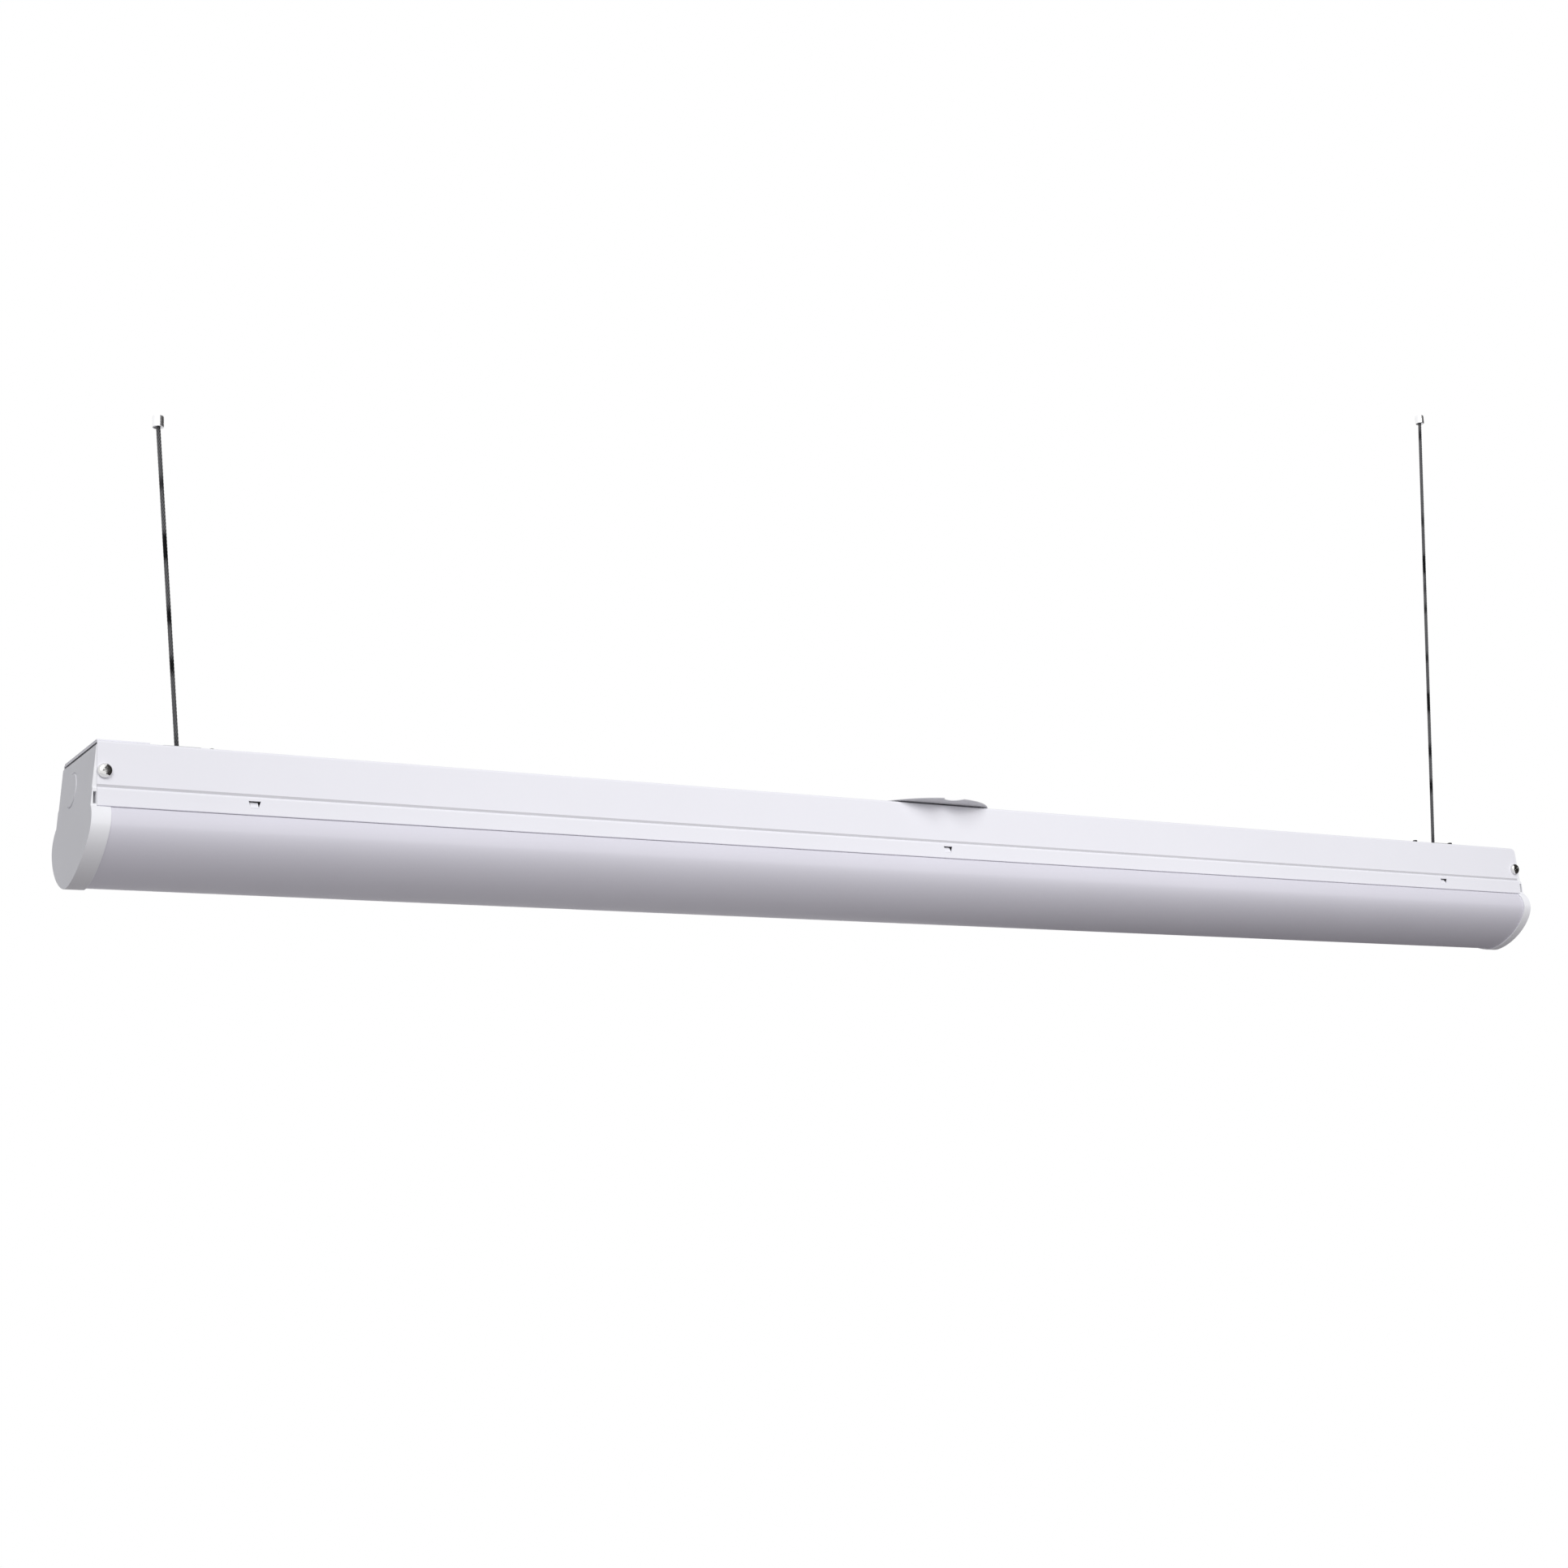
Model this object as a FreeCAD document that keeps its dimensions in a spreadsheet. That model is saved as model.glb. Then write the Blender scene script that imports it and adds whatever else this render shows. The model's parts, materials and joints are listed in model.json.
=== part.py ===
import FreeCAD, Part
import math
import os
import re

import Sketcher

# Hanging shop light, 4 ft long. Every piece is laid out in the light's own frame: X along the
# channel from its middle, -Y to the front, Z up from the channel's top sheet. The whole light is
# then shifted, so that the origin is the swing centre of the left cable's upper ball end.

doc = FreeCAD.newDocument("shop_light")

# ---------------------------------------------------------------- driving sizes, millimetres

SIZES = [
    # channel
    ("overall_length", 1219.0),
    ("channel_width", 75.3),
    ("sheet_gauge", 1.0),
    ("bend_radius", 1.5),
    ("wall_drop", 27.2),
    ("joggle_out", 1.25),
    ("joggle_drop", 1.6),
    ("skirt_drop", 39.7),
    ("hem_height", 3.0),
    ("channel_setback", 0.3),
    # punched lances that hold the tray
    ("lance_inset", 94.8),
    ("lance_depth", 32.7),
    ("lance_width", 7.0),
    ("lance_height", 4.0),
    ("lance_reach", 2.4),
    ("lance_slit", 0.5),
    # lens
    ("total_depth", 81.9),
    ("lens_width", 86.6),
    ("lens_widest_depth", 51.1),
    ("lens_power", 1.6),
    ("lens_cheek_bow", 0.8),
    ("lens_wall", 1.8),
    ("lens_gap", 0.4),
    ("lens_hook_rise", 3.0),
    # end caps
    ("end_lean", 5.05),
    ("cap_wall", 2.5),
    ("cap_rim_width", 11.6),
    ("cap_proud", 1.0),
    ("cap_top_gap", 1.7),
    ("cap_plug_length", 16.0),
    ("cap_fit", 0.2),
    ("knockout_radius", 11.1),
    ("knockout_back", 10.2),
    ("knockout_depth", 21.0),
    ("knockout_groove", 0.9),
    ("cap_slot_width", 1.5),
    ("cap_slot_gap", 0.6),
    ("cap_slot_top", 31.2),
    ("cap_slot_bottom", 38.5),
    ("end_screw_inset", 5.4),
    ("end_screw_depth", 18.4),
    ("end_screw_radius", 2.2),
    ("end_screw_head_radius", 4.75),
    ("end_screw_head_height", 3.0),
    ("end_screw_length", 9.0),
    ("screw_clearance", 0.15),
    # tray
    ("tray_gauge", 0.8),
    ("tray_side_gap", 0.35),
    ("tray_side_height", 9.0),
    ("tray_end_gap", 2.0),
    ("lead_slot_length", 24.0),
    ("lead_slot_width", 14.0),
    # lamp boards
    ("board_width", 24.0),
    ("board_thickness", 1.6),
    ("board_end_gap", 22.0),
    ("board_middle_gap", 34.0),
    ("chip_pitch", 16.0),
    ("chip_length", 3.5),
    ("chip_width", 2.8),
    ("chip_height", 0.8),
    ("jumper_width", 6.0),
    ("jumper_height", 3.0),
    ("jumper_overlap", 4.0),
    ("rivet_radius", 1.6),
    ("rivet_head_radius", 3.0),
    ("rivet_head_height", 1.0),
    ("rivet_edge", 14.0),
    # driver
    ("driver_start", 80.0),
    ("driver_length", 220.0),
    ("driver_width", 42.0),
    ("driver_height", 21.0),
    ("driver_gauge", 0.8),
    ("driver_lug", 12.0),
    ("driver_lid_gauge", 0.8),
    ("circuit_lift", 3.0),
    ("circuit_thickness", 1.6),
    ("transformer_side", 24.0),
    ("transformer_height", 12.0),
    ("capacitor_radius", 5.0),
    ("capacitor_height", 13.0),
    ("small_screw_radius", 1.5),
    ("small_screw_head_radius", 2.9),
    ("small_screw_head_height", 2.0),
    # wiring
    ("terminal_start", 34.0),
    ("terminal_length", 20.0),
    ("terminal_width", 30.0),
    ("terminal_height", 15.0),
    ("terminal_pitch", 8.0),
    ("lead_radius", 1.1),
    ("connector_length", 9.0),
    ("connector_width", 11.0),
    ("connector_height", 5.0),
    ("ground_screw_offset", 100.0),
    ("ground_screw_back", 20.0),
    # junction plate
    ("wire_hole_radius", 11.1),
    ("plate_radius", 55.0),
    ("plate_gauge", 0.8),
    ("gasket_radius", 35.0),
    ("gasket_thickness", 0.3),
    ("box_screw_spacing", 88.9),
    ("box_slot_radius", 2.4),
    ("box_slot_length", 12.0),
    ("plate_notch_radius", 9.75),
    ("plate_notch_outset", 2.9),
    ("plate_screw_offset", 24.0),
    ("plate_screw_radius", 2.0),
    ("plate_screw_head_radius", 3.8),
    ("plate_screw_head_height", 1.8),
    ("plate_screw_length", 8.0),
    # slots for screwing the channel flat to a ceiling
    ("surface_slot_inset", 209.5),
    ("surface_slot_radius", 3.2),
    ("surface_slot_length", 16.0),
    # joiner plate
    ("joiner_length", 31.5),
    ("joiner_gauge", 1.0),
    ("joiner_width", 72.0),
    # hangers
    ("hang_inset", 58.9),
    ("bridge_gauge", 1.5),
    ("bridge_front", 10.5),
    ("bridge_back", 14.0),
    ("bridge_rise", 3.6),
    ("bridge_half_top", 12.0),
    ("bridge_half_base", 16.0),
    ("bridge_half_length", 26.5),
    ("stud_offset", 21.5),
    ("stud_radius", 2.0),
    ("stud_top", 9.8),
    ("stud_head_radius", 4.6),
    ("stud_head_height", 1.6),
    ("nut_across_flats", 7.0),
    ("nut_height", 3.2),
    ("seat_half_width", 2.0),
    ("seat_half_length", 3.2),
    ("seat_entry_radius", 3.1),
    ("seat_entry_back", 7.6),
    ("ball_radius", 2.6),
    ("ball_clearance", 0.3),
    ("cable_radius", 1.4),
    ("slip_fit", 0.05),
    ("left_cable_length", 214.6),
    ("left_cable_lean", 3.63),
    ("right_cable_length", 404.2),
    ("right_cable_lean", 6.32),
    # ceiling cups
    ("cup_radius", 3.7),
    ("cup_above", 4.4),
    ("cup_below", 3.0),
    ("cup_throat_radius", 2.4),
    ("cup_flare", 30.0),
]

sheet = doc.addObject("Spreadsheet::Sheet", "Sizes")
for row, (alias, number) in enumerate(SIZES, start=1):
    sheet.set("A%d" % row, alias)
    sheet.set("B%d" % row, str(number))
    sheet.setAlias("B%d" % row, alias)
doc.recompute()

FUNCTIONS = {"sin", "cos", "tan", "sqrt", "pi"}


def bound(formula):
    """A formula in plain size names, written the way an expression wants it."""

    def cell(match):
        word = match.group()
        return word if word in FUNCTIONS else "Sizes." + word

    return re.sub(r"[a-z_]+", cell, formula)


def size(formula):
    """The present value of a formula in size names."""
    return float(sheet.evalExpression(bound(formula)))


# ---------------------------------------------------------------- heights and places used often

HANG = "(overall_length / 2 - hang_inset)"
BALL_HEIGHT = (
    "(bridge_gauge + bridge_rise - sqrt((ball_radius + ball_clearance)^2 - seat_half_width^2))"
)
LEFT_TOP_X = "(0 - %s - left_cable_length * sin(left_cable_lean))" % HANG
LEFT_TOP_Z = "(%s + left_cable_length * cos(left_cable_lean))" % BALL_HEIGHT
RIGHT_TOP_X = "(%s + right_cable_length * sin(right_cable_lean))" % HANG
RIGHT_TOP_Z = "(%s + right_cable_length * cos(right_cable_lean))" % BALL_HEIGHT
CHANNEL_HALF = "(overall_length / 2 - channel_setback)"
TRAY_TOP = "(0 - lance_depth + lance_height / 2 + tray_gauge)"
TRAY_UNDER = "(%s - tray_gauge)" % TRAY_TOP
BOARD_UNDER = "(%s - board_thickness)" % TRAY_UNDER
CARD_LOW = "(%s + driver_gauge + circuit_lift)" % TRAY_TOP
CARD_TOP = "(%s + circuit_thickness)" % CARD_LOW
CARD_END = "(0 - driver_start - driver_gauge - connector_length)"
LEAD_HEIGHT = "(%s + lead_radius + slip_fit)" % CARD_TOP
SKIRT_OUT = "(channel_width / 2 + joggle_out)"

finished = []


def finish(piece, label):
    """Names a finished piece and shifts it into the frame of the ceiling mount."""
    piece.Label = label
    piece.setExpression("Placement.Base.x", bound("0 - " + LEFT_TOP_X))
    piece.setExpression("Placement.Base.z", bound("0 - " + LEFT_TOP_Z))
    finished.append(piece)
    return piece


def finish_shape(shape, label):
    """Stores a shape made by code as a finished piece."""
    piece = doc.addObject("Part::Feature", label)
    piece.Shape = shape
    return finish(piece, label)


# ---------------------------------------------------------------- sketch and feature helpers


def new_body(label):
    body = doc.addObject("PartDesign::Body", label)
    return finish(body, label)


def new_sketch(body, name, plane, offset="0"):
    """A sketch on one of the body's own origin planes, moved along the plane's normal."""
    sketch = body.newObject("Sketcher::SketchObject", name)
    origin_plane = next(f for f in body.Origin.OriginFeatures if f.Role == plane)
    sketch.AttachmentSupport = [(origin_plane, "")]
    sketch.MapMode = "FlatFace"
    sketch.setExpression("AttachmentOffset.Base.z", bound(offset))
    return sketch


def pin_point(sketch, geometry, position, across, up):
    """Ties a point of the sketch to two formulas, measured from the sketch's origin."""
    for kind, formula in (("DistanceX", across), ("DistanceY", up)):
        index = sketch.addConstraint(
            Sketcher.Constraint(kind, -1, 1, geometry, position, size(formula))
        )
        sketch.setExpression("Constraints[%d]" % index, bound(formula))


def polygon(sketch, corners):
    """A closed outline with straight sides; each corner is a pair of formulas."""
    places = [FreeCAD.Vector(size(across), size(up), 0) for across, up in corners]
    first = sketch.GeometryCount
    count = len(places)
    for number in range(count):
        sketch.addGeometry(Part.LineSegment(places[number], places[(number + 1) % count]))
    for number, (across, up) in enumerate(corners):
        line = first + number
        following = first + (number + 1) % count
        sketch.addConstraint(Sketcher.Constraint("Coincident", line, 2, following, 1))
        pin_point(sketch, line, 1, across, up)


def rectangle(sketch, left, right, low, high):
    polygon(sketch, [(left, low), (right, low), (right, high), (left, high)])


def circle(sketch, across, up, radius):
    centre = FreeCAD.Vector(size(across), size(up), 0)
    number = sketch.addGeometry(
        Part.Circle(centre, FreeCAD.Vector(0, 0, 1), size(radius))
    )
    pin_point(sketch, number, 3, across, up)
    index = sketch.addConstraint(Sketcher.Constraint("Radius", number, size(radius)))
    sketch.setExpression("Constraints[%d]" % index, bound(radius))


def slot(sketch, across, up, length, radius, upright=False):
    """A slot with round ends, centred on a point, along the sketch's first or second axis."""
    half = "(%s) / 2 - %s" % (length, radius)
    quarter = math.pi / 2
    turn = quarter if upright else 0.0
    ends = []
    for side in ("-", "+"):
        if upright:
            place = (across, "%s %s (%s)" % (up, side, half))
        else:
            place = ("%s %s (%s)" % (across, side, half), up)
        ends.append(place)
    arcs = []
    for place, start in zip(ends, (quarter, -quarter)):
        centre = FreeCAD.Vector(size(place[0]), size(place[1]), 0)
        whole = Part.Circle(centre, FreeCAD.Vector(0, 0, 1), size(radius))
        arc = Part.ArcOfCircle(whole, start + turn, start + turn + math.pi)
        arcs.append(sketch.addGeometry(arc))
        pin_point(sketch, arcs[-1], 3, place[0], place[1])
    for arc, other in (arcs, arcs[::-1]):
        start = sketch.getPoint(arc, 2)
        stop = sketch.getPoint(other, 1)
        line = sketch.addGeometry(Part.LineSegment(start, stop))
        sketch.addConstraint(Sketcher.Constraint("Tangent", arc, 2, line, 1))
        sketch.addConstraint(Sketcher.Constraint("Tangent", line, 2, other, 1))
    index = sketch.addConstraint(Sketcher.Constraint("Radius", arcs[0], size(radius)))
    sketch.setExpression("Constraints[%d]" % index, bound(radius))


def pad(body, sketch, length, symmetric=False, backwards=False):
    feature = body.newObject("PartDesign::Pad", sketch.Name + "_pad")
    feature.Profile = sketch
    feature.SideType = "Symmetric" if symmetric else "One side"
    feature.Reversed = backwards
    feature.setExpression("Length", bound(length))
    body.Tip = feature
    doc.recompute()
    return feature


def pocket(body, sketch, length, symmetric=False, backwards=False):
    before = body.Shape.Volume
    feature = body.newObject("PartDesign::Pocket", sketch.Name + "_pocket")
    feature.Profile = sketch
    feature.SideType = "Symmetric" if symmetric else "One side"
    feature.Reversed = backwards
    feature.setExpression("Length", bound(length))
    body.Tip = feature
    doc.recompute()
    if body.Shape.Volume >= before:
        raise RuntimeError("%s cuts nothing" % feature.Name)
    return feature


def long_edges(shape, places):
    """Names of the edges along X that pass within reach of the given (y, z) places."""
    reach = 0.05
    names = []
    for number, edge in enumerate(shape.Edges, start=1):
        ends = [vertex.Point for vertex in edge.Vertexes]
        if len(ends) != 2 or abs(ends[0].y - ends[1].y) + abs(ends[0].z - ends[1].z) > reach:
            continue
        for y, z in places:
            if abs(ends[0].y - y) < reach and abs(ends[0].z - z) < reach:
                names.append("Edge%d" % number)
    return names


def round_bends(body, radius, corners):
    """Rounds the bends at the given corners, front and back alike."""
    base = body.Tip
    shift = size("0 - " + LEFT_TOP_Z)
    places = []
    for across, up in corners:
        for side in (-1, 1):
            places.append((side * size(across), size(up)))
    shape = base.Shape.copy()
    names = long_edges(shape, places)
    if len(names) < len(places):
        names = long_edges(shape, [(y, z + shift) for y, z in places])
    if len(names) < len(places):
        raise RuntimeError("%s has %d of %d bends" % (body.Label, len(names), len(places)))
    feature = body.newObject("PartDesign::Fillet", body.Name + "_bends%d" % len(body.Group))
    feature.Base = (base, names)
    feature.setExpression("Radius", bound(radius))
    body.Tip = feature
    doc.recompute()
    return feature


def mirrored(half):
    """A profile symmetric about the centre line, from its corners on the back side."""
    return half + [("0 - (%s)" % across, up) for across, up in reversed(half)]


# ---------------------------------------------------------------- housing channel


def make_channel():
    body = new_body("housing_channel")
    outer = "channel_width / 2"
    inner = "channel_width / 2 - sheet_gauge"
    skirt_inner = SKIRT_OUT + " - sheet_gauge"
    hem_inner = SKIRT_OUT + " - 2 * sheet_gauge"
    joggle_end = "0 - wall_drop - joggle_drop"
    hem_top = "0 - skirt_drop + hem_height"
    outside = [
        (outer, "0"),
        (outer, "0 - wall_drop"),
        (SKIRT_OUT, joggle_end),
        (SKIRT_OUT, "0 - skirt_drop"),
        (hem_inner, "0 - skirt_drop"),
        (hem_inner, hem_top),
        (skirt_inner, hem_top),
        (skirt_inner, joggle_end + " - sheet_gauge / 2"),
        (inner, "0 - wall_drop - sheet_gauge / 2"),
        (inner, "0 - sheet_gauge"),
    ]
    profile = new_sketch(body, "channel_profile", "YZ_Plane")
    polygon(profile, mirrored(outside))
    pad(body, profile, "2 * " + CHANNEL_HALF, symmetric=True)
    round_bends(body, "bend_radius", [(outer, "0")])
    round_bends(body, "bend_radius - sheet_gauge / 2", [(inner, "0 - sheet_gauge")])
    round_bends(body, "sheet_gauge * 0.8", [(outer, "0 - wall_drop"), (SKIRT_OUT, joggle_end)])
    round_bends(body, "sheet_gauge * 0.8", [(SKIRT_OUT, "0 - skirt_drop")])

    holes = new_sketch(body, "channel_top_holes", "XY_Plane")
    circle(holes, "0", "0", "wire_hole_radius")
    for side in ("-", "+"):
        slot(
            holes,
            "0 %s (overall_length / 2 - surface_slot_inset)" % side,
            "0",
            "surface_slot_length",
            "surface_slot_radius",
        )
        slot(
            holes,
            "0 %s box_screw_spacing / 2" % side,
            "0",
            "box_slot_length",
            "box_slot_radius",
        )
        circle(holes, "0 %s plate_screw_offset" % side, "0", "plate_screw_radius + screw_clearance")
        for end in ("-", "+"):
            place = "0 %s %s %s stud_offset" % (side, HANG, end)
            circle(holes, place, "0", "stud_radius + screw_clearance")
    pocket(body, holes, "sheet_gauge * 2")

    side_holes = new_sketch(body, "channel_side_holes", "XZ_Plane")
    for side in ("-", "+"):
        circle(
            side_holes,
            "0 %s (%s - end_screw_inset)" % (side, CHANNEL_HALF),
            "0 - end_screw_depth",
            "end_screw_radius + screw_clearance",
        )
    for place in LANCE_PLACES:
        rectangle(
            side_holes,
            place + " - lance_width / 2",
            place + " + lance_width / 2",
            "0 - lance_depth - lance_height / 2",
            "0 - lance_depth + lance_height / 2 + lance_slit",
        )
    pocket(body, side_holes, "channel_width * 2", symmetric=True)

    for number, place in enumerate(LANCE_PLACES):
        tabs = new_sketch(body, "lance_tabs_%d" % number, "YZ_Plane", place)
        foot = "0 - lance_depth - lance_height / 2"
        head = "0 - lance_depth + lance_height / 2"
        for side in ("0 - ", "0 + "):
            corners = [
                (side + "(%s)" % SKIRT_OUT, foot),
                (side + "(%s - sheet_gauge)" % SKIRT_OUT, foot),
                (side + "(%s - sheet_gauge - lance_reach)" % SKIRT_OUT, head),
                (side + "(%s - lance_reach)" % SKIRT_OUT, head),
            ]
            polygon(tabs, corners)
        pad(body, tabs, "lance_width - 2 * lance_slit", symmetric=True)


LANCE_PLACES = [
    "(lance_inset - overall_length / 2)",
    "0",
    "(overall_length / 2 - lance_inset)",
]
make_channel()

# ---------------------------------------------------------------- lens and end caps


def belly(grow, arcs=10):
    """The lens outline from its widest line at the back, under the bottom, to the front.

    A superellipse drawn as a chain of arcs: half width and depth grow by the same amount.
    """
    half = size("lens_width / 2") + grow
    drop = size("total_depth - lens_widest_depth") + grow
    level = -size("lens_widest_depth")
    power = size("lens_power")
    points = []
    for step in range(2 * arcs + 1):
        angle = math.pi * step / (2 * arcs)
        across = half * math.copysign(abs(math.cos(angle)) ** (2 / power), math.cos(angle))
        down = drop * math.sin(angle) ** (2 / power)
        points.append(FreeCAD.Vector(0, across, level - down))
    return [
        Part.Arc(points[first], points[first + 1], points[first + 2]).toShape()
        for first in range(0, 2 * arcs, 2)
    ]


def cheek(grow, neck, neck_level):
    """The short curve of the lens side, from the skirt's edge out to the widest line."""
    half = size("lens_width / 2") + grow
    level = -size("lens_widest_depth")
    bow = size("lens_cheek_bow")
    start = FreeCAD.Vector(0, neck, neck_level)
    stop = FreeCAD.Vector(0, half, level)
    middle = FreeCAD.Vector(0, half - (half - neck) * 0.3, (level + neck_level) / 2 + bow)
    return start, Part.Arc(start, middle, stop).toShape()


def flip(shape):
    return shape.mirror(FreeCAD.Vector(0, 0, 0), FreeCAD.Vector(0, 1, 0))


def filled(edges):
    return Part.Face(Part.Wire(Part.__sortEdges__(edges)))


def lens_section(grow, neck, neck_level, top_points):
    """A closed section: belly, both cheeks, and straight runs through the top points."""
    start, side = cheek(grow, neck, neck_level)
    edges = belly(grow) + [side, flip(side)]
    run = [start] + [FreeCAD.Vector(0, across, up) for across, up in top_points]
    for first, second in zip(run, run[1:]):
        edges.append(Part.makeLine(first, second))
        edges.append(flip(Part.makeLine(first, second)))
    last = run[-1]
    edges.append(Part.makeLine(last, FreeCAD.Vector(0, -last.y, last.z)))
    return filled(edges)


def along_x(face, start, stop):
    moved = face.copy()
    moved.translate(FreeCAD.Vector(start, 0, 0))
    return moved.extrude(FreeCAD.Vector(stop - start, 0, 0))


def make_lens():
    """One wall with a barbed leg on each side that clicks over the skirt's hem."""
    wall = size("lens_wall")
    gap = size("lens_gap")
    skirt = size(SKIRT_OUT)
    edge_level = -size("skirt_drop") - gap
    leg_outer = skirt - 2 * size("sheet_gauge") - size("cap_fit")
    leg_inner = leg_outer - wall * 0.8
    barb_level = -size("skirt_drop - hem_height")
    leg_top = barb_level + size("lens_hook_rise")
    barb_out = leg_outer + size("sheet_gauge") * 0.7
    outer_start, outer_cheek = cheek(0, skirt - gap, edge_level)
    inner_start, inner_cheek = cheek(-wall, leg_inner, edge_level - wall)
    edges = belly(0) + [outer_cheek, flip(outer_cheek)]
    edges += belly(-wall) + [inner_cheek, flip(inner_cheek)]
    run = [
        outer_start,
        FreeCAD.Vector(0, leg_outer, edge_level),
        FreeCAD.Vector(0, leg_outer, barb_level),
        FreeCAD.Vector(0, barb_out, barb_level),
        FreeCAD.Vector(0, leg_outer, leg_top),
        FreeCAD.Vector(0, leg_inner, leg_top),
        inner_start,
    ]
    for first, second in zip(run, run[1:]):
        edges.append(Part.makeLine(first, second))
        edges.append(flip(Part.makeLine(first, second)))
    face = filled(edges)
    half = size(CHANNEL_HALF)
    finish_shape(along_x(face, -half, half), "lens")


make_lens()


def make_end_cap(side, label):
    """A moulded cap for the end on one side (-1 left, +1 right), built at the left and turned.

    The face leans outwards on its way down, the rim laps over the lens, and a hollow plug with
    two screw bosses goes up inside the channel.
    """
    half = size("overall_length / 2")
    channel_end = -size(CHANNEL_HALF)
    lean = math.tan(math.radians(size("end_lean")))
    depth = size("total_depth")
    wall = size("cap_wall")
    proud = size("cap_proud")
    fit = size("cap_fit")
    gauge = size("sheet_gauge")
    skirt = size(SKIRT_OUT)
    channel = size("channel_width / 2")
    top = -size("cap_top_gap") - gauge
    lip = -size("skirt_drop")
    far = -half - lean * depth - 10
    rim_width = size("cap_rim_width")
    rim_end = channel_end + rim_width
    joggle = -size("wall_drop")

    silhouette = lens_section(
        proud,
        skirt + proud,
        lip - size("lens_gap"),
        [
            (skirt, lip),
            (skirt, joggle - size("joggle_drop")),
            (channel, joggle),
            (channel, top),
        ],
    )
    cap = along_x(silhouette, far, channel_end)

    # the rim over the lens
    seam = lip - size("lens_gap")
    rim = lens_section(proud, skirt + proud, seam, [(0.5, seam)])
    rim = along_x(rim, channel_end, rim_end)
    bore = lens_section(fit, skirt, seam + fit, [(0.5, lip + wall)])
    rim = rim.cut(along_x(bore, channel_end - 1, rim_end + 1))

    # the face leans outwards on its way down, and the rim keeps one width along it
    wedge = Part.makePolygon(
        [
            FreeCAD.Vector(far - 20, 0, 10),
            FreeCAD.Vector(-half + lean * 10, 0, 10),
            FreeCAD.Vector(-half - lean * (depth + 10), 0, -depth - 10),
            FreeCAD.Vector(far - 20, 0, -depth - 10),
            FreeCAD.Vector(far - 20, 0, 10),
        ]
    )
    wedge = Part.Face(wedge)
    wedge.translate(FreeCAD.Vector(0, -2 * channel, 0))
    beyond_face = wedge.extrude(FreeCAD.Vector(0, 4 * channel, 0))
    rim_limit = beyond_face.copy()
    rim_limit.translate(FreeCAD.Vector(rim_width, 0, 0))
    cap = cap.fuse(rim.common(rim_limit))

    # the plug inside the channel, open at its inner end
    plug_out = channel - gauge - fit
    plug_low = -size("lance_depth - lance_height / 2") + size("tray_gauge") + fit
    plug_end = channel_end + size("cap_plug_length")
    plug = Part.makeBox(
        plug_end - channel_end,
        2 * plug_out,
        top - plug_low,
        FreeCAD.Vector(channel_end, -plug_out, plug_low),
    )
    # the plug's sides stand inside the tray's upturned sides
    cap = cap.fuse(plug)

    cap = cap.cut(beyond_face)

    # hollow it from inside, leaving the face plate
    keep = beyond_face.copy()
    keep.translate(FreeCAD.Vector(wall, 0, 0))
    hollow_top = along_x(
        Part.Face(
            Part.makePolygon(
                [
                    FreeCAD.Vector(0, y, z)
                    for y, z in (
                        (-plug_out + wall, top - wall),
                        (plug_out - wall, top - wall),
                        (plug_out - wall, plug_low + wall),
                        (-plug_out + wall, plug_low + wall),
                        (-plug_out + wall, top - wall),
                    )
                ]
            )
        ),
        far,
        plug_end + 1,
    )
    hollow_low = lens_section(
        fit - wall, skirt - wall, lip - wall, [(skirt - wall, plug_low - wall)]
    )
    hollow_low = along_x(hollow_low, far, channel_end + 1)
    cap = cap.cut(hollow_top.cut(keep)).cut(hollow_low.cut(keep))

    # screw bosses just inside the channel's walls
    boss_x = channel_end + size("end_screw_inset")
    boss_z = -size("end_screw_depth")
    boss_radius = size("end_screw_radius") + wall * 0.8
    boss_length = size("end_screw_length") + wall * 0.6
    shank = size("end_screw_radius + slip_fit")
    for direction in (-1, 1):
        start = FreeCAD.Vector(boss_x, direction * plug_out, boss_z)
        inward = FreeCAD.Vector(0, -direction, 0)
        cap = cap.fuse(Part.makeCylinder(boss_radius, boss_length, start, inward))
    for direction in (-1, 1):
        start = FreeCAD.Vector(boss_x, direction * (plug_out + 1), boss_z)
        inward = FreeCAD.Vector(0, -direction, 0)
        cap = cap.cut(Part.makeCylinder(shank, size("end_screw_length") + 1.2, start, inward))

    # the knockout's ring groove in the leaning face
    angle = math.degrees(math.atan(lean))
    normal = FreeCAD.Rotation(FreeCAD.Vector(0, 1, 0), -angle).multVec(FreeCAD.Vector(-1, 0, 0))
    ko_z = -size("knockout_depth")
    centre = FreeCAD.Vector(-half + lean * ko_z, size("knockout_back"), ko_z)
    groove = size("knockout_groove")
    radius = size("knockout_radius")
    deep = wall * 0.45
    start = centre - normal * deep
    ring = Part.makeCylinder(radius, deep + 1, start, normal)
    ring = ring.cut(Part.makeCylinder(radius - groove, deep + 1, start, normal))
    cap = cap.cut(ring)

    # a slot beside the skirt's cut end, front and back
    slot_low = -size("cap_slot_bottom")
    slot_high = -size("cap_slot_top")
    slot_width = size("cap_slot_width")
    slot_gap = size("cap_slot_gap")
    for direction in (-1, 1):
        corner_y = min(direction * (skirt - wall - 1), direction * (skirt + 1))
        notch = Part.makeBox(
            slot_width,
            wall + 2,
            slot_high - slot_low,
            FreeCAD.Vector(channel_end - slot_gap - slot_width, corner_y, slot_low),
        )
        cap = cap.cut(notch)

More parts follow.
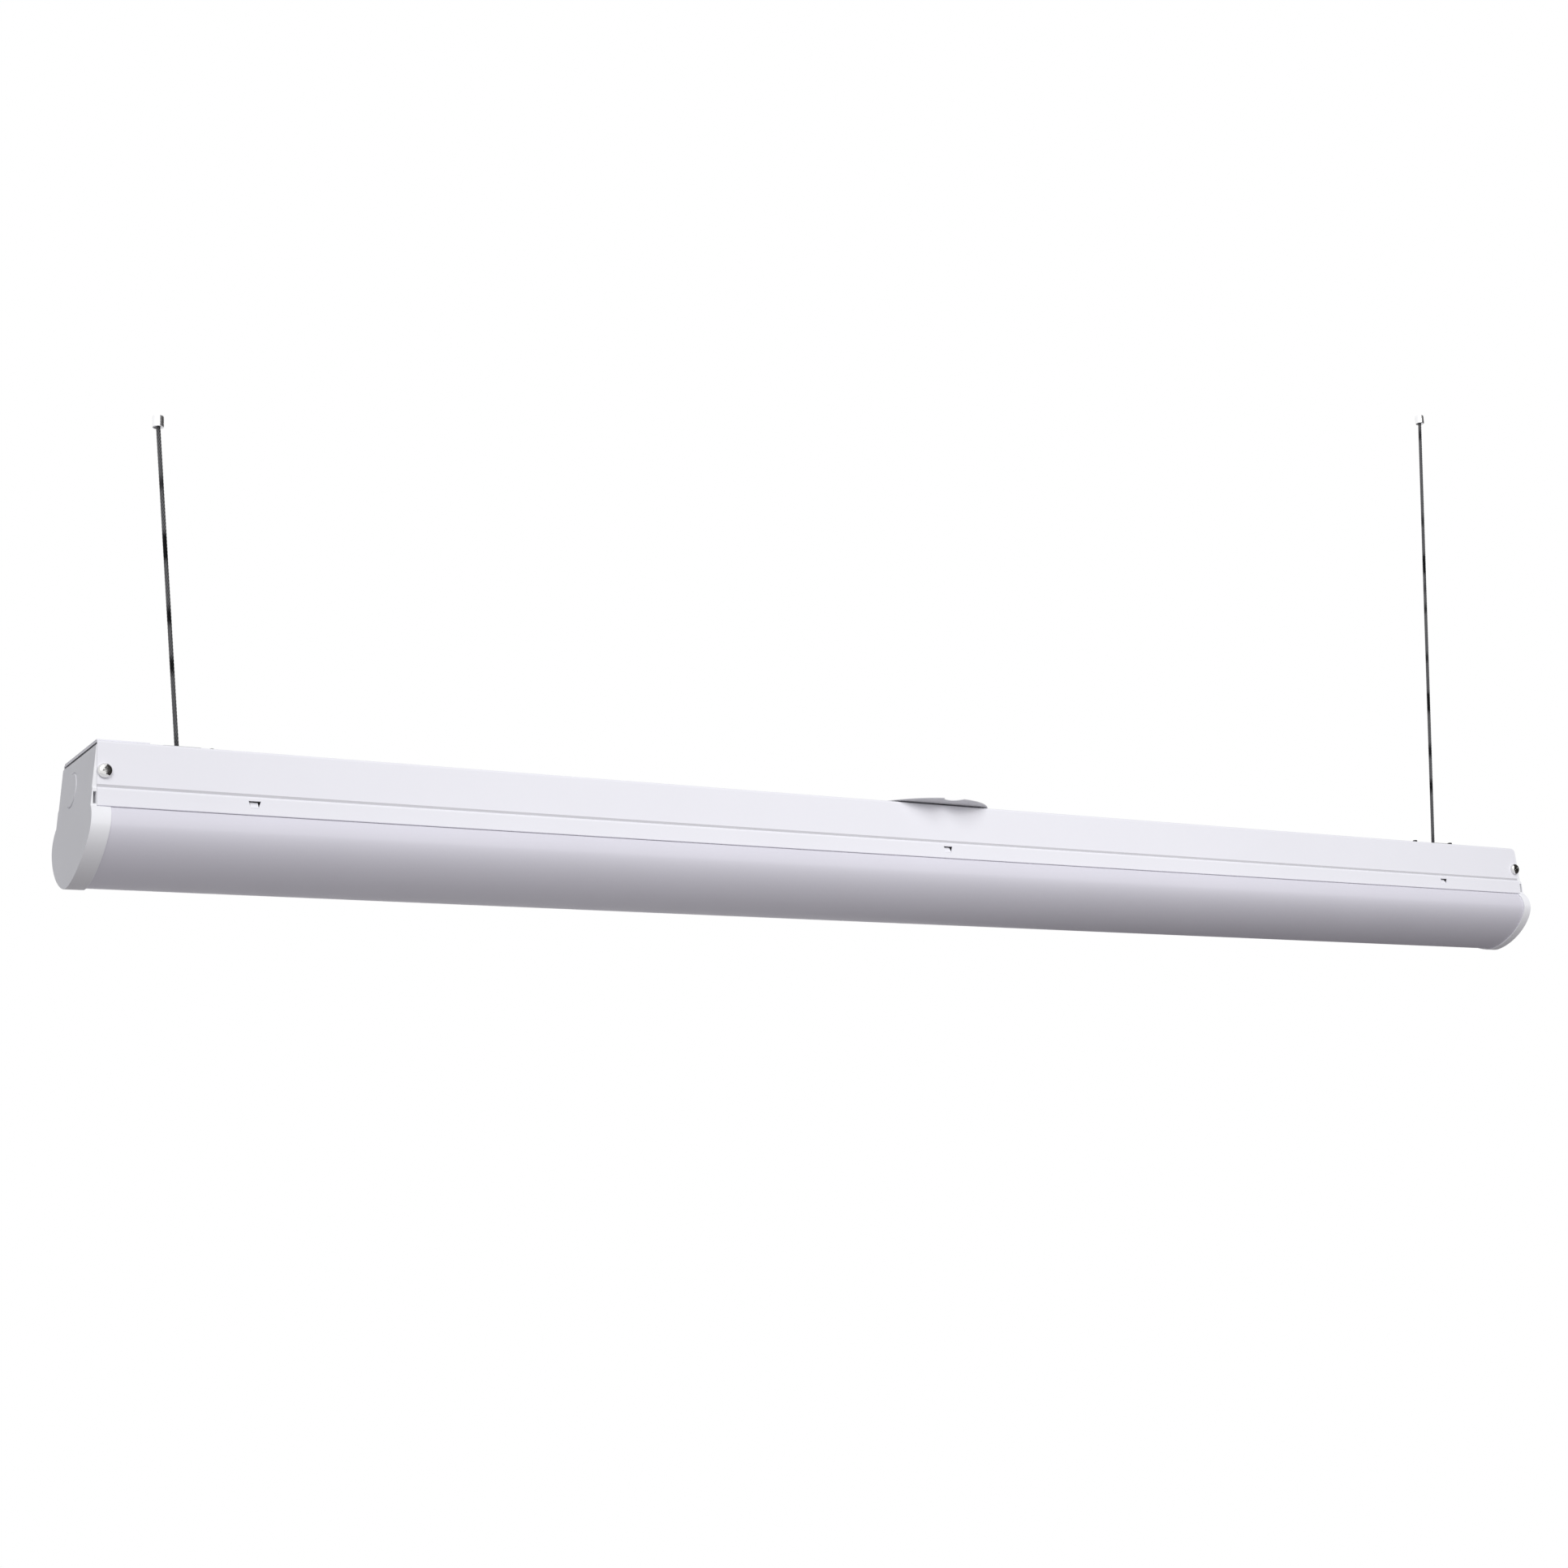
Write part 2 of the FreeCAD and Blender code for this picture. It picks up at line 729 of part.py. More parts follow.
    cap = cap.removeSplitter()
    if side > 0:
        cap.rotate(FreeCAD.Vector(0, 0, 0), FreeCAD.Vector(0, 0, 1), 180)
    solids = sorted(cap.Solids, key=lambda solid: solid.Volume)
    finish_shape(solids[-1], label)
    print(label, "solids", len(solids), "volume", round(cap.Volume))


make_end_cap(-1, "end_cap_left")
make_end_cap(1, "end_cap_right")

# ---------------------------------------------------------------- screws, studs, nuts, rivets


def pan_screw(place, direction, shank_radius, shank_length, head_radius, head_height):
    """A pan-head screw: the head's underside is at the place, the shank runs along direction."""
    outline = [
        (0, head_height),
        (head_radius * 0.62, head_height),
        (head_radius, head_height * 0.5),
        (head_radius, 0),
        (shank_radius, 0),
        (shank_radius, -shank_length),
        (0, -shank_length),
        (0, head_height),
    ]
    face = Part.Face(Part.makePolygon([FreeCAD.Vector(across, 0, up) for across, up in outline]))
    screw = face.revolve(FreeCAD.Vector(0, 0, 0), FreeCAD.Vector(0, 0, 1), 360)
    turn = FreeCAD.Rotation(FreeCAD.Vector(0, 0, -1), direction)
    screw.Placement = FreeCAD.Placement(place, turn)
    return screw


def screws(label, places, direction_of, shank_radius, shank_length, head_radius, head_height):
    made = []
    for place in places:
        made.append(
            pan_screw(
                place,
                direction_of(place),
                size(shank_radius),
                size(shank_length),
                size(head_radius),
                size(head_height),
            )
        )
    finish_shape(Part.makeCompound(made), label)


UP = FreeCAD.Vector(0, 0, 1)
DOWN = FreeCAD.Vector(0, 0, -1)

end_x = size(CHANNEL_HALF + " - end_screw_inset")
wall_y = size("channel_width / 2")
screws(
    "end_cap_screws",
    [
        FreeCAD.Vector(x, y, -size("end_screw_depth"))
        for x in (-end_x, end_x)
        for y in (-wall_y, wall_y)
    ],
    lambda place: FreeCAD.Vector(0, -math.copysign(1, place.y), 0),
    "end_screw_radius",
    "end_screw_length",
    "end_screw_head_radius",
    "end_screw_head_height",
)

# ---------------------------------------------------------------- tray


def make_tray():
    body = new_body("led_tray")
    out = "channel_width / 2 - sheet_gauge - tray_side_gap"
    inside = out + " - tray_gauge"
    rim = TRAY_TOP + " + tray_side_height"
    half = [
        (out, rim),
        (out, TRAY_UNDER),
    ]
    back = [
        (inside, TRAY_TOP),
        (inside, rim),
    ]
    corners = [(across, up) for across, up in half]
    corners += [("0 - (%s)" % across, up) for across, up in reversed(half)]
    corners += [("0 - (%s)" % across, up) for across, up in reversed(back)]
    corners += back
    profile = new_sketch(body, "tray_profile", "YZ_Plane")
    polygon(profile, corners)
    length = "2 * (%s - cap_plug_length - tray_end_gap)" % CHANNEL_HALF
    pad(body, profile, length, symmetric=True)
    cuts = new_sketch(body, "tray_slots", "XY_Plane", TRAY_TOP)
    slot(cuts, "0 - lead_slot_length / 2", "0", "lead_slot_length", "lead_slot_width / 2")
    circle(
        cuts,
        "ground_screw_offset",
        "ground_screw_back",
        "small_screw_radius + screw_clearance",
    )
    for place in DRIVER_SCREWS:
        circle(cuts, place, "0", "small_screw_radius + screw_clearance")
    for place in RIVETS:
        circle(cuts, place, "0", "rivet_radius + screw_clearance")
    pocket(body, cuts, "tray_gauge * 3", symmetric=True)


BOARD_LENGTH = "(%s - board_end_gap - cap_plug_length - board_middle_gap / 2)" % CHANNEL_HALF
BOARD_START = "(board_middle_gap / 2)"
DRIVER_SCREWS = [
    "(0 - driver_start + driver_lug / 2)",
    "(0 - driver_start - driver_length - driver_lug / 2)",
]
RIVETS = []
for side in ("-", "+"):
    middle = "%s / 2 + chip_pitch / 2" % BOARD_LENGTH
    for share in ("rivet_edge", middle, "%s - rivet_edge" % BOARD_LENGTH):
        RIVETS.append("(0 %s (%s + %s))" % (side, BOARD_START, share))
make_tray()

# ---------------------------------------------------------------- lamp boards


def make_board(label, side):
    body = new_body(label)
    outline = new_sketch(body, label + "_outline", "XY_Plane", BOARD_UNDER)
    near = "0 %s %s" % (side, BOARD_START)
    far = "0 %s (%s + %s)" % (side, BOARD_START, BOARD_LENGTH)
    rectangle(outline, near, far, "0 - board_width / 2", "board_width / 2")
    pad(body, outline, "board_thickness")
    holes = new_sketch(body, label + "_holes", "XY_Plane", BOARD_UNDER)
    for place in RIVETS:
        if size(place) * size("0 %s 1" % side) > 0:
            circle(holes, place, "0", "rivet_radius + screw_clearance")
    pocket(body, holes, "board_thickness * 2", symmetric=True)


def make_chips(label, side):
    """Lamp chips along the board, none where a rivet goes."""
    pitch = size("chip_pitch")
    clear = size("rivet_head_radius + chip_length / 2") + 0.5
    rivets = [size(place) for place in RIVETS]
    start = size(BOARD_START) + size("connector_length") + pitch
    last = size(BOARD_START) + size(BOARD_LENGTH) - size("chip_length")
    made = []
    position = start
    while position < last:
        x = side * position
        if all(abs(x - rivet) > clear for rivet in rivets):
            corner = FreeCAD.Vector(
                x - size("chip_length / 2"),
                -size("chip_width / 2"),
                size(BOARD_UNDER + " - chip_height"),
            )
            made.append(
                Part.makeBox(
                    size("chip_length"), size("chip_width"), size("chip_height"), corner
                )
            )
        position += pitch
    finish_shape(Part.makeCompound(made), label)
    print(label, len(made))


make_board("led_board_left", "-")
make_board("led_board_right", "+")
make_chips("led_chips_left", -1)
make_chips("led_chips_right", 1)


def make_rivets():
    """Flat-headed rivets, pushed up through the boards and the tray."""
    head = size("rivet_head_height")
    made = []
    for place in RIVETS:
        foot = FreeCAD.Vector(size(place), 0, size(BOARD_UNDER))
        shank = Part.makeCylinder(
            size("rivet_radius"), size("board_thickness + tray_gauge") + head, foot - UP * head
        )
        disc = Part.makeCylinder(size("rivet_head_radius"), head, foot - UP * head)
        made.append(disc.fuse(shank).removeSplitter())
    finish_shape(Part.makeCompound(made), "board_rivets")


make_rivets()


def box_piece(label, left, right, front, back, low, high):
    """A plain rectangular piece between six formulas."""
    box = doc.addObject("Part::Box", label)
    box.setExpression("Length", bound("(%s) - (%s)" % (right, left)))
    box.setExpression("Width", bound("(%s) - (%s)" % (back, front)))
    box.setExpression("Height", bound("(%s) - (%s)" % (high, low)))
    finish(box, label)
    box.setExpression("Placement.Base.x", bound("%s - %s" % (left, LEFT_TOP_X)))
    box.setExpression("Placement.Base.y", bound(front))
    box.setExpression("Placement.Base.z", bound("%s - %s" % (low, LEFT_TOP_Z)))
    return box


box_piece(
    "board_jumper",
    "0 - board_middle_gap / 2 - jumper_overlap",
    "board_middle_gap / 2 + jumper_overlap",
    "0 - board_width / 2",
    "0 - board_width / 2 + jumper_width",
    BOARD_UNDER + " - jumper_height",
    BOARD_UNDER,
)

# ---------------------------------------------------------------- driver


def make_driver():
    start = "0 - driver_start - driver_length"
    stop = "0 - driver_start"
    front = "0 - driver_width / 2"
    back = "driver_width / 2"
    body = new_body("driver_case")
    floor = new_sketch(body, "driver_floor", "XY_Plane", TRAY_TOP)
    rectangle(floor, start + " - driver_lug", stop + " + driver_lug", front, back)
    pad(body, floor, "driver_gauge")
    block = new_sketch(body, "driver_block", "XY_Plane", TRAY_TOP)
    rectangle(block, start, stop, front, back)
    pad(body, block, "driver_height")
    room = new_sketch(body, "driver_room", "XY_Plane", TRAY_TOP + " + driver_height")
    rectangle(
        room,
        start + " + driver_gauge",
        stop + " - driver_gauge",
        front + " + driver_gauge",
        back + " - driver_gauge",
    )
    pocket(body, room, "driver_height - driver_gauge")
    holes = new_sketch(body, "driver_lug_holes", "XY_Plane", TRAY_TOP)
    for place in DRIVER_SCREWS:
        circle(holes, place, "0", "small_screw_radius + screw_clearance")
    pocket(body, holes, "driver_gauge * 3", symmetric=True)
    ways = new_sketch(body, "driver_lead_holes", "YZ_Plane", stop)
    for across in ("terminal_pitch", "0 - terminal_pitch"):
        circle(ways, across, LEAD_HEIGHT, "lead_radius + screw_clearance")
    for across in ("terminal_pitch / 3", "0 - terminal_pitch / 3"):
        circle(ways, across, LEAD_HEIGHT, "lead_radius + screw_clearance")
    pocket(body, ways, "driver_gauge * 3", symmetric=True)

    lid = new_body("driver_cover")
    top = new_sketch(lid, "driver_cover_outline", "XY_Plane", TRAY_TOP + " + driver_height")
    rectangle(top, start, stop, front, back)
    pad(lid, top, "driver_lid_gauge")


def make_driver_card():
    """The circuit board on four short posts, with its transformer and capacitors."""
    start = size("0 - driver_start - driver_length + driver_gauge + cap_fit")
    stop = size(CARD_END)
    half = size("driver_width / 2 - driver_gauge - cap_fit")
    low = size(CARD_LOW)
    over = size(CARD_TOP)
    card = Part.makeBox(
        stop - start, 2 * half, size("circuit_thickness"), FreeCAD.Vector(start, -half, low)
    )
    post = size("rivet_radius")
    inset = size("rivet_head_radius")
    for x in (start + inset, stop - inset):
        for y in (-half + inset, half - inset):
            foot = FreeCAD.Vector(x, y, low - size("circuit_lift"))
            card = card.fuse(Part.makeCylinder(post, size("circuit_lift"), foot))
    finish_shape(card.removeSplitter(), "driver_circuit_board")
    side = size("transformer_side")
    middle = (start + stop) / 2
    finish_shape(
        Part.makeBox(
            side,
            side,
            size("transformer_height"),
            FreeCAD.Vector(middle - side / 2, -side / 2, over),
        ),
        "driver_transformer",
    )
    cans = []
    for x in (start + 4 * inset, stop - 5 * inset):
        for y in (-half / 2, half / 2):
            cans.append(
                Part.makeCylinder(
                    size("capacitor_radius"),
                    size("capacitor_height"),
                    FreeCAD.Vector(x, y, over),
                )
            )
    finish_shape(Part.makeCompound(cans), "driver_capacitors")


make_driver()
make_driver_card()

lug_top = size(TRAY_TOP + " + driver_gauge")
screws(
    "driver_screws",
    [FreeCAD.Vector(size(place), 0, lug_top) for place in DRIVER_SCREWS],
    lambda place: DOWN,
    "small_screw_radius",
    "driver_gauge + tray_gauge",
    "small_screw_head_radius",
    "small_screw_head_height",
)

# ---------------------------------------------------------------- wiring

box_piece(
    "terminal_block",
    "terminal_start",
    "terminal_start + terminal_length",
    "0 - terminal_width / 2",
    "terminal_width / 2",
    TRAY_TOP,
    TRAY_TOP + " + terminal_height",
)

box_piece(
    "lamp_connector",
    BOARD_START,
    BOARD_START + " + connector_length",
    "0 - connector_width / 2",
    "connector_width / 2",
    BOARD_UNDER + " - connector_height",
    BOARD_UNDER,
)

tray_top = size(TRAY_TOP)
screws(
    "ground_screw",
    [FreeCAD.Vector(size("ground_screw_offset"), size("ground_screw_back"), tray_top)],
    lambda place: DOWN,
    "small_screw_radius",
    "tray_gauge * 2",
    "small_screw_head_radius",
    "small_screw_head_height",
)


def lead_path(points):
    """Straight runs joined by tangent arcs, as large as the runs allow."""
    edges = []
    radii = []
    start = points[0]
    for before, corner, after in zip(points, points[1:], points[2:]):
        arriving = corner - before
        leaving = after - corner
        turn = arriving.getAngle(leaving)
        cut = 0.45 * min(arriving.Length, leaving.Length)
        radius = cut / math.tan(turn / 2)
        radii.append(round(radius, 1))
        arriving.normalize()
        leaving.normalize()
        begin = corner - arriving * cut
        stop = corner + leaving * cut
        inward = leaving - arriving
        inward.normalize()
        centre = corner + inward * (radius / math.cos(turn / 2))
        towards = corner - centre
        towards.normalize()
        edges.append(Part.makeLine(start, begin))
        edges.append(Part.Arc(begin, centre + towards * radius, stop).toShape())
        start = stop
    edges.append(Part.makeLine(start, points[-1]))
    return Part.Wire(edges), radii


def make_leads(label, routes):
    """Round insulated leads along their routes."""
    radius = size("lead_radius")
    made = []
    for points in routes:
        path, radii = lead_path(points)
        ring = Part.Circle(points[0], points[1] - points[0], radius).toShape()
        tube = path.makePipeShell([Part.Wire([ring])], True, False)
        expected = math.pi * radius**2 * path.Length
        if abs(tube.Volume - expected) > 0.02 * expected:
            raise RuntimeError("%s is not a whole tube" % label)
        made.append(tube)
        print(label, "length", round(path.Length, 1), "radii", radii)
    shape = made[0] if len(made) == 1 else Part.makeCompound(made)
    finish_shape(shape, label)


lead_z = size(LEAD_HEIGHT)
driver_end = size("0 - driver_start")
lead_start = size(CARD_END + " - connector_length / 2")
terminal_face = size("terminal_start")
pitch = size("terminal_pitch")
for lead_label, y in (("line_lead", pitch), ("neutral_lead", -pitch)):
    span = terminal_face - driver_end
    make_leads(
        lead_label,
        [
            [
                FreeCAD.Vector(lead_start, y, lead_z),
                FreeCAD.Vector(driver_end + span * 0.3, y, lead_z),
                FreeCAD.Vector(driver_end + span * 0.68, y * 0.5, lead_z),
                FreeCAD.Vector(terminal_face, y * 0.5, lead_z),
            ]
        ],
    )

connector_face = size(BOARD_START)
connector_z = size(BOARD_UNDER + " - connector_height / 2")
slot_start = size("0 - lead_slot_length")
make_leads(
    "lamp_leads",
    [
        [
            FreeCAD.Vector(lead_start, y, lead_z),
            FreeCAD.Vector(slot_start - 7, y, lead_z),
            FreeCAD.Vector(slot_start + 25, y, connector_z),
            FreeCAD.Vector(connector_face, y, connector_z),
        ]
        for y in (-pitch / 3, pitch / 3)
    ],
)

screw_x = size("ground_screw_offset")
screw_y = size("ground_screw_back")
terminal_stop = size("terminal_start + terminal_length")
reach = size("small_screw_head_radius") + 0.1
rest_z = tray_top + size("lead_radius") + 0.2
make_leads(
    "ground_lead",
    [
        [
            FreeCAD.Vector(terminal_stop, 0, lead_z),
            FreeCAD.Vector(terminal_stop + 9, 0, lead_z),
            FreeCAD.Vector(screw_x - reach - 8, screw_y, rest_z),
            FreeCAD.Vector(screw_x - reach, screw_y, rest_z),
        ]
    ],
)

# ---------------------------------------------------------------- junction plate on top


def make_junction():
    gasket = new_body("junction_gasket")
    pad_outline = new_sketch(gasket, "gasket_outline", "XY_Plane")
    circle(pad_outline, "0", "0", "gasket_radius")
    circle(pad_outline, "0", "0", "wire_hole_radius")
    pad(gasket, pad_outline, "gasket_thickness")
    pad_holes = new_sketch(gasket, "gasket_holes", "XY_Plane")
    for side in ("-", "+"):
        circle(pad_holes, "0 %s plate_screw_offset" % side, "0", "plate_screw_radius + screw_clearance")
    pocket(gasket, pad_holes, "gasket_thickness * 3", symmetric=True)

    plate = new_body("junction_cover")
    disc = new_sketch(plate, "plate_outline", "XY_Plane", "gasket_thickness")
    circle(disc, "0", "0", "plate_radius")
    circle(disc, "0", "0", "wire_hole_radius")
    pad(plate, disc, "plate_gauge")
    cuts = new_sketch(plate, "plate_slots", "XY_Plane", "gasket_thickness")
    for side in ("-", "+"):
        circle(cuts, "0 %s plate_screw_offset" % side, "0", "plate_screw_radius + screw_clearance")
        slot(
            cuts,
            "0 %s box_screw_spacing / 2" % side,
            "0",
            "box_slot_length",
            "box_slot_radius",
        )
    pocket(plate, cuts, "plate_gauge * 3", symmetric=True)
    bites = new_sketch(plate, "plate_notches", "XY_Plane", "gasket_thickness")
    for side in ("-", "+"):
        circle(
            bites,
            "0",
            "0 %s (plate_radius + plate_notch_outset)" % side,
            "plate_notch_radius",
        )
    pocket(plate, bites, "plate_gauge * 3", symmetric=True)


make_junction()
plate_top = size("gasket_thickness + plate_gauge")
screws(
    "junction_cover_screws",
    [
        FreeCAD.Vector(side * size("plate_screw_offset"), 0, plate_top)
        for side in (-1, 1)
    ],
    lambda place: DOWN,
    "plate_screw_radius",
    "plate_screw_length",
    "plate_screw_head_radius",
    "plate_screw_head_height",
)

# ---------------------------------------------------------------- joiner plate

joiner_left = "0 - overall_length / 2 + channel_setback"
box_piece(
    "joiner_plate",
    joiner_left,
    joiner_left + " + joiner_length",
    "0 - joiner_width / 2",
    "joiner_width / 2",
    "0",
    "joiner_gauge",
)

# ---------------------------------------------------------------- hangers


def make_bridge(label, centre):
    """A strap with two feet and a raised middle that holds the cable's ball end in a keyhole."""
    body = new_body(label)
    low_in = "bridge_half_base"
    top_in = "bridge_half_top"
    over = "bridge_gauge + bridge_rise + bridge_gauge"
    under = "bridge_gauge + bridge_rise"
    half = [
        ("bridge_half_length", "0"),
        ("bridge_half_length", "bridge_gauge"),
        (low_in + " + bridge_gauge / 3", "bridge_gauge"),
        (top_in + " + bridge_gauge / 3", over),
    ]
    inner = [
        (top_in + " - bridge_gauge / 3", under),
        (low_in + " - bridge_gauge / 3", "0"),
    ]
    right = [("%s + (%s)" % (centre, across), up) for across, up in half]
    left = [("%s - (%s)" % (centre, across), up) for across, up in reversed(half)]
    inner_left = [("%s - (%s)" % (centre, across), up) for across, up in reversed(inner)]
    inner_right = [("%s + (%s)" % (centre, across), up) for across, up in inner]
    profile = new_sketch(body, label + "_profile", "XZ_Plane", "bridge_front")
    polygon(profile, right + left + inner_left + inner_right)
    pad(body, profile, "bridge_front + bridge_back", backwards=True)
    feet = new_sketch(body, label + "_feet", "XY_Plane")
    for side in ("-", "+"):
        circle(feet, "%s %s stud_offset" % (centre, side), "0", "stud_radius + screw_clearance")
    pocket(body, feet, "bridge_gauge * 3", symmetric=True)
    seat = new_sketch(body, label + "_seat", "XY_Plane", over)
    slot(
        seat,
        centre,
        "(seat_entry_back - seat_half_length) / 2",
        "seat_entry_back + seat_half_length",
        "seat_half_width",
        upright=True,
    )
    pocket(body, seat, "bridge_gauge * 3", symmetric=True)
    entry = new_sketch(body, label + "_entry", "XY_Plane", over)
    circle(entry, centre, "seat_entry_back", "seat_entry_radius")
    pocket(body, entry, "bridge_gauge * 3", symmetric=True)


def make_studs_and_nuts():
    studs = []
    nuts = []
    floor = size("sheet_gauge")
    flat = size("nut_across_flats")
    for middle in (-size(HANG), size(HANG)):
        for offset in (-size("stud_offset"), size("stud_offset")):
            x = middle + offset
            stud = Part.makeCylinder(
                size("stud_radius"), size("stud_top") + floor, FreeCAD.Vector(x, 0, -floor)
            )
            head = Part.makeCylinder(
                size("stud_head_radius"),
                size("stud_head_height"),
                FreeCAD.Vector(x, 0, -floor - size("stud_head_height")),
            )
            studs.append(stud.fuse(head).removeSplitter())
            corner = flat / math.sqrt(3)
            ring = []
            for number in range(7):
                angle = math.radians(60 * number)
                ring.append(
                    FreeCAD.Vector(
                        x + corner * math.cos(angle),
                        corner * math.sin(angle),
                        size("bridge_gauge"),
                    )
                )
            nut = Part.Face(Part.makePolygon(ring)).extrude(
                FreeCAD.Vector(0, 0, size("nut_height"))
            )
            hole = Part.makeCylinder(
                size("stud_radius + slip_fit"),
                size("nut_height"),
                FreeCAD.Vector(x, 0, size("bridge_gauge")),
            )
            nuts.append(nut.cut(hole))
    finish_shape(Part.makeCompound(studs), "hanger_studs")
    finish_shape(Part.makeCompound(nuts), "hanger_nuts")


make_bridge("hanger_bridge_left", "(0 - %s)" % HANG)
make_bridge("hanger_bridge_right", HANG)
make_studs_and_nuts()

# ---------------------------------------------------------------- cables, ball ends, ceiling cups


def make_cable(side, name):
    """A straight taut cable between the centres of its two ball ends, and the cup above it."""
    lean = size(name + "_cable_lean")
    length = size(name + "_cable_length")
    foot = FreeCAD.Vector(side * size(HANG), 0, size(BALL_HEIGHT))
    along = FreeCAD.Vector(
        side * math.sin(math.radians(lean)), 0, math.cos(math.radians(lean))
    )
    top = foot + along * length
    cable = Part.makeCylinder(size("cable_radius"), length, foot, along)
    finish_shape(cable, "cable_" + name)
    balls = []
    for centre, outward in ((foot, along), (top, along * -1)):
        ball = Part.makeSphere(size("ball_radius"), centre)
        bore = Part.makeCylinder(
            size("cable_radius + slip_fit"), size("ball_radius") * 2, centre, outward
        )
        balls.append(ball.cut(bore))
    finish_shape(balls[0], "lower_ball_end_" + name)
    finish_shape(balls[1], "upper_ball_end_" + name)

    below = size("cup_below")
    body = Part.makeCylinder(
        size("cup_radius"), below + size("cup_above"), top - UP * below
    )
    room = Part.makeSphere(size("ball_radius + ball_clearance"), top)
    throat = size("cup_throat_radius")
    drop = math.sqrt(size("ball_radius + ball_clearance") ** 2 - throat**2)
    flare = math.tan(math.radians(size("cup_flare")))
    mouth = Part.makeCone(
        throat + flare * (below + 1 - drop), throat, below + 1 - drop, top - UP * (below + 1)
    )
    finish_shape(body.cut(room).cut(mouth), "ceiling_cup_" + name)
    print(name, "cable top", [round(value, 3) for value in top], "length", round(length, 1))


make_cable(-1, "left")
make_cable(1, "right")

# ---------------------------------------------------------------- check and write

doc.recompute()
for item in doc.Objects:
    if "Invalid" in item.State or "Error" in item.State:
        raise RuntimeError("%s is %s" % (item.Label, item.State))

os.makedirs("parts", exist_ok=True)
written = set()
for piece in finished:
    if piece.Shape.isNull() or not piece.Shape.isValid():
        raise RuntimeError("%s has no valid shape" % piece.Label)
    piece.Shape.exportStep("parts/%s.step" % piece.Label)
    written.add(piece.Label)
print(len(written), "pieces")
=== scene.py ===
import json
import math

import bmesh
import bpy
from mathutils import Matrix, Vector


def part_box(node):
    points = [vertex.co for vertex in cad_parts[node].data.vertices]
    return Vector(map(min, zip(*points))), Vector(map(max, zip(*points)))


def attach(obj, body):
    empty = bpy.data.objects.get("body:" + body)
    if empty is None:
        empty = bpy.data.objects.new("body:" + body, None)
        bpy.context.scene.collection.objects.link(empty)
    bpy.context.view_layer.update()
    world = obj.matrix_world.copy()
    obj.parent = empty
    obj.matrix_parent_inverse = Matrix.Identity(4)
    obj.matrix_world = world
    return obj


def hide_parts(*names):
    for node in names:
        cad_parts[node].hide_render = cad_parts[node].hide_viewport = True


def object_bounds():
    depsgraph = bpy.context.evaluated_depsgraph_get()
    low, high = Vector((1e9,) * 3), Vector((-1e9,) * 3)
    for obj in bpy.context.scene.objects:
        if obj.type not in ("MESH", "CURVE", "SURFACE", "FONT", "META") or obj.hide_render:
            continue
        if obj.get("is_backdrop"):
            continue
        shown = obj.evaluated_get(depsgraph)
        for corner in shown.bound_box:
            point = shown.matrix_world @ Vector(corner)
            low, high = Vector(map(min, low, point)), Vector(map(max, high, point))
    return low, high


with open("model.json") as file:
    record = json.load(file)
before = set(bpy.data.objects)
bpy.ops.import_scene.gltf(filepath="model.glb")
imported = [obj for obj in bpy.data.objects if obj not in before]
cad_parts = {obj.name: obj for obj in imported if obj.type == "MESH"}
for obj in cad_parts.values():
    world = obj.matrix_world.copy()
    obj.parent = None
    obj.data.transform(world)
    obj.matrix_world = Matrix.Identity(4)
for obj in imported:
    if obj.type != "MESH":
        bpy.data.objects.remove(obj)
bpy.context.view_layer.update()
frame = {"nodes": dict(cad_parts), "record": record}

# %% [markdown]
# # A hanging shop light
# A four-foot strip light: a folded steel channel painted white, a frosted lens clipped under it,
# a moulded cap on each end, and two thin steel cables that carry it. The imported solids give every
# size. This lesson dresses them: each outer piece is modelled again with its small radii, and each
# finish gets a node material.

MM = 0.001
channel_low, channel_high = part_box("housing_channel")
LIGHT = Vector(((channel_low.x + channel_high.x) / 2, 0, channel_high.z))


def at(x, y, z):
    """A place in millimetres from the middle of the channel's top face, as the scene has it."""
    return LIGHT + Vector((x, y, z)) * MM


CHANNEL_END = (channel_high.x - channel_low.x) / 2 / MM
print("channel half length, mm:", round(CHANNEL_END, 2))

# %% [markdown]
# ## The camera
# The photo looks up at the light from the near left, so the end cap and the underside both show.
# The camera comes first, because the cables are judged by what it sees. Its place and turn were
# solved from the channel's long straight edges.

# %% Camera
EYE = (-953.89, -1337.227, -318.257)
EYE_RIGHT = Vector((0.8506552, -0.5234162, -0.0492060))
EYE_DOWN = Vector((0.0673986, 0.2014009, -0.9771874))
FOCAL_PIXELS = 2776.507
PHOTO_PIXELS = 1932

camera_data = bpy.data.cameras.new("photo_camera")
camera = bpy.data.objects.new("photo_camera", camera_data)
bpy.context.scene.collection.objects.link(camera)
camera_data.sensor_fit = "HORIZONTAL"
camera_data.sensor_width = 36.0
camera_data.lens = FOCAL_PIXELS / PHOTO_PIXELS * camera_data.sensor_width
camera_data.clip_start = 0.02
camera_data.clip_end = 60.0
up = -EYE_DOWN
back = EYE_RIGHT.cross(up).normalized()
turn = Matrix((EYE_RIGHT, up, back)).transposed().to_4x4()
camera.matrix_world = Matrix.Translation(at(*EYE)) @ turn
bpy.context.scene.camera = camera
print("lens:", round(camera_data.lens, 2), "mm")

# %% [markdown]
# ## Working by hand, in code
# The pieces are made with the same operators as in the edit window. These few helpers select
# pieces, faces and edges by their place, so that each operator acts on what it should.

# %% Selecting and finishing helpers


def only(*pieces):
    """Selects these pieces and nothing else."""
    if bpy.context.mode != "OBJECT":
        bpy.ops.object.mode_set(mode="OBJECT")
    bpy.ops.object.select_all(action="DESELECT")
    for piece in pieces:
        piece.select_set(True)
    bpy.context.view_layer.objects.active = pieces[0]


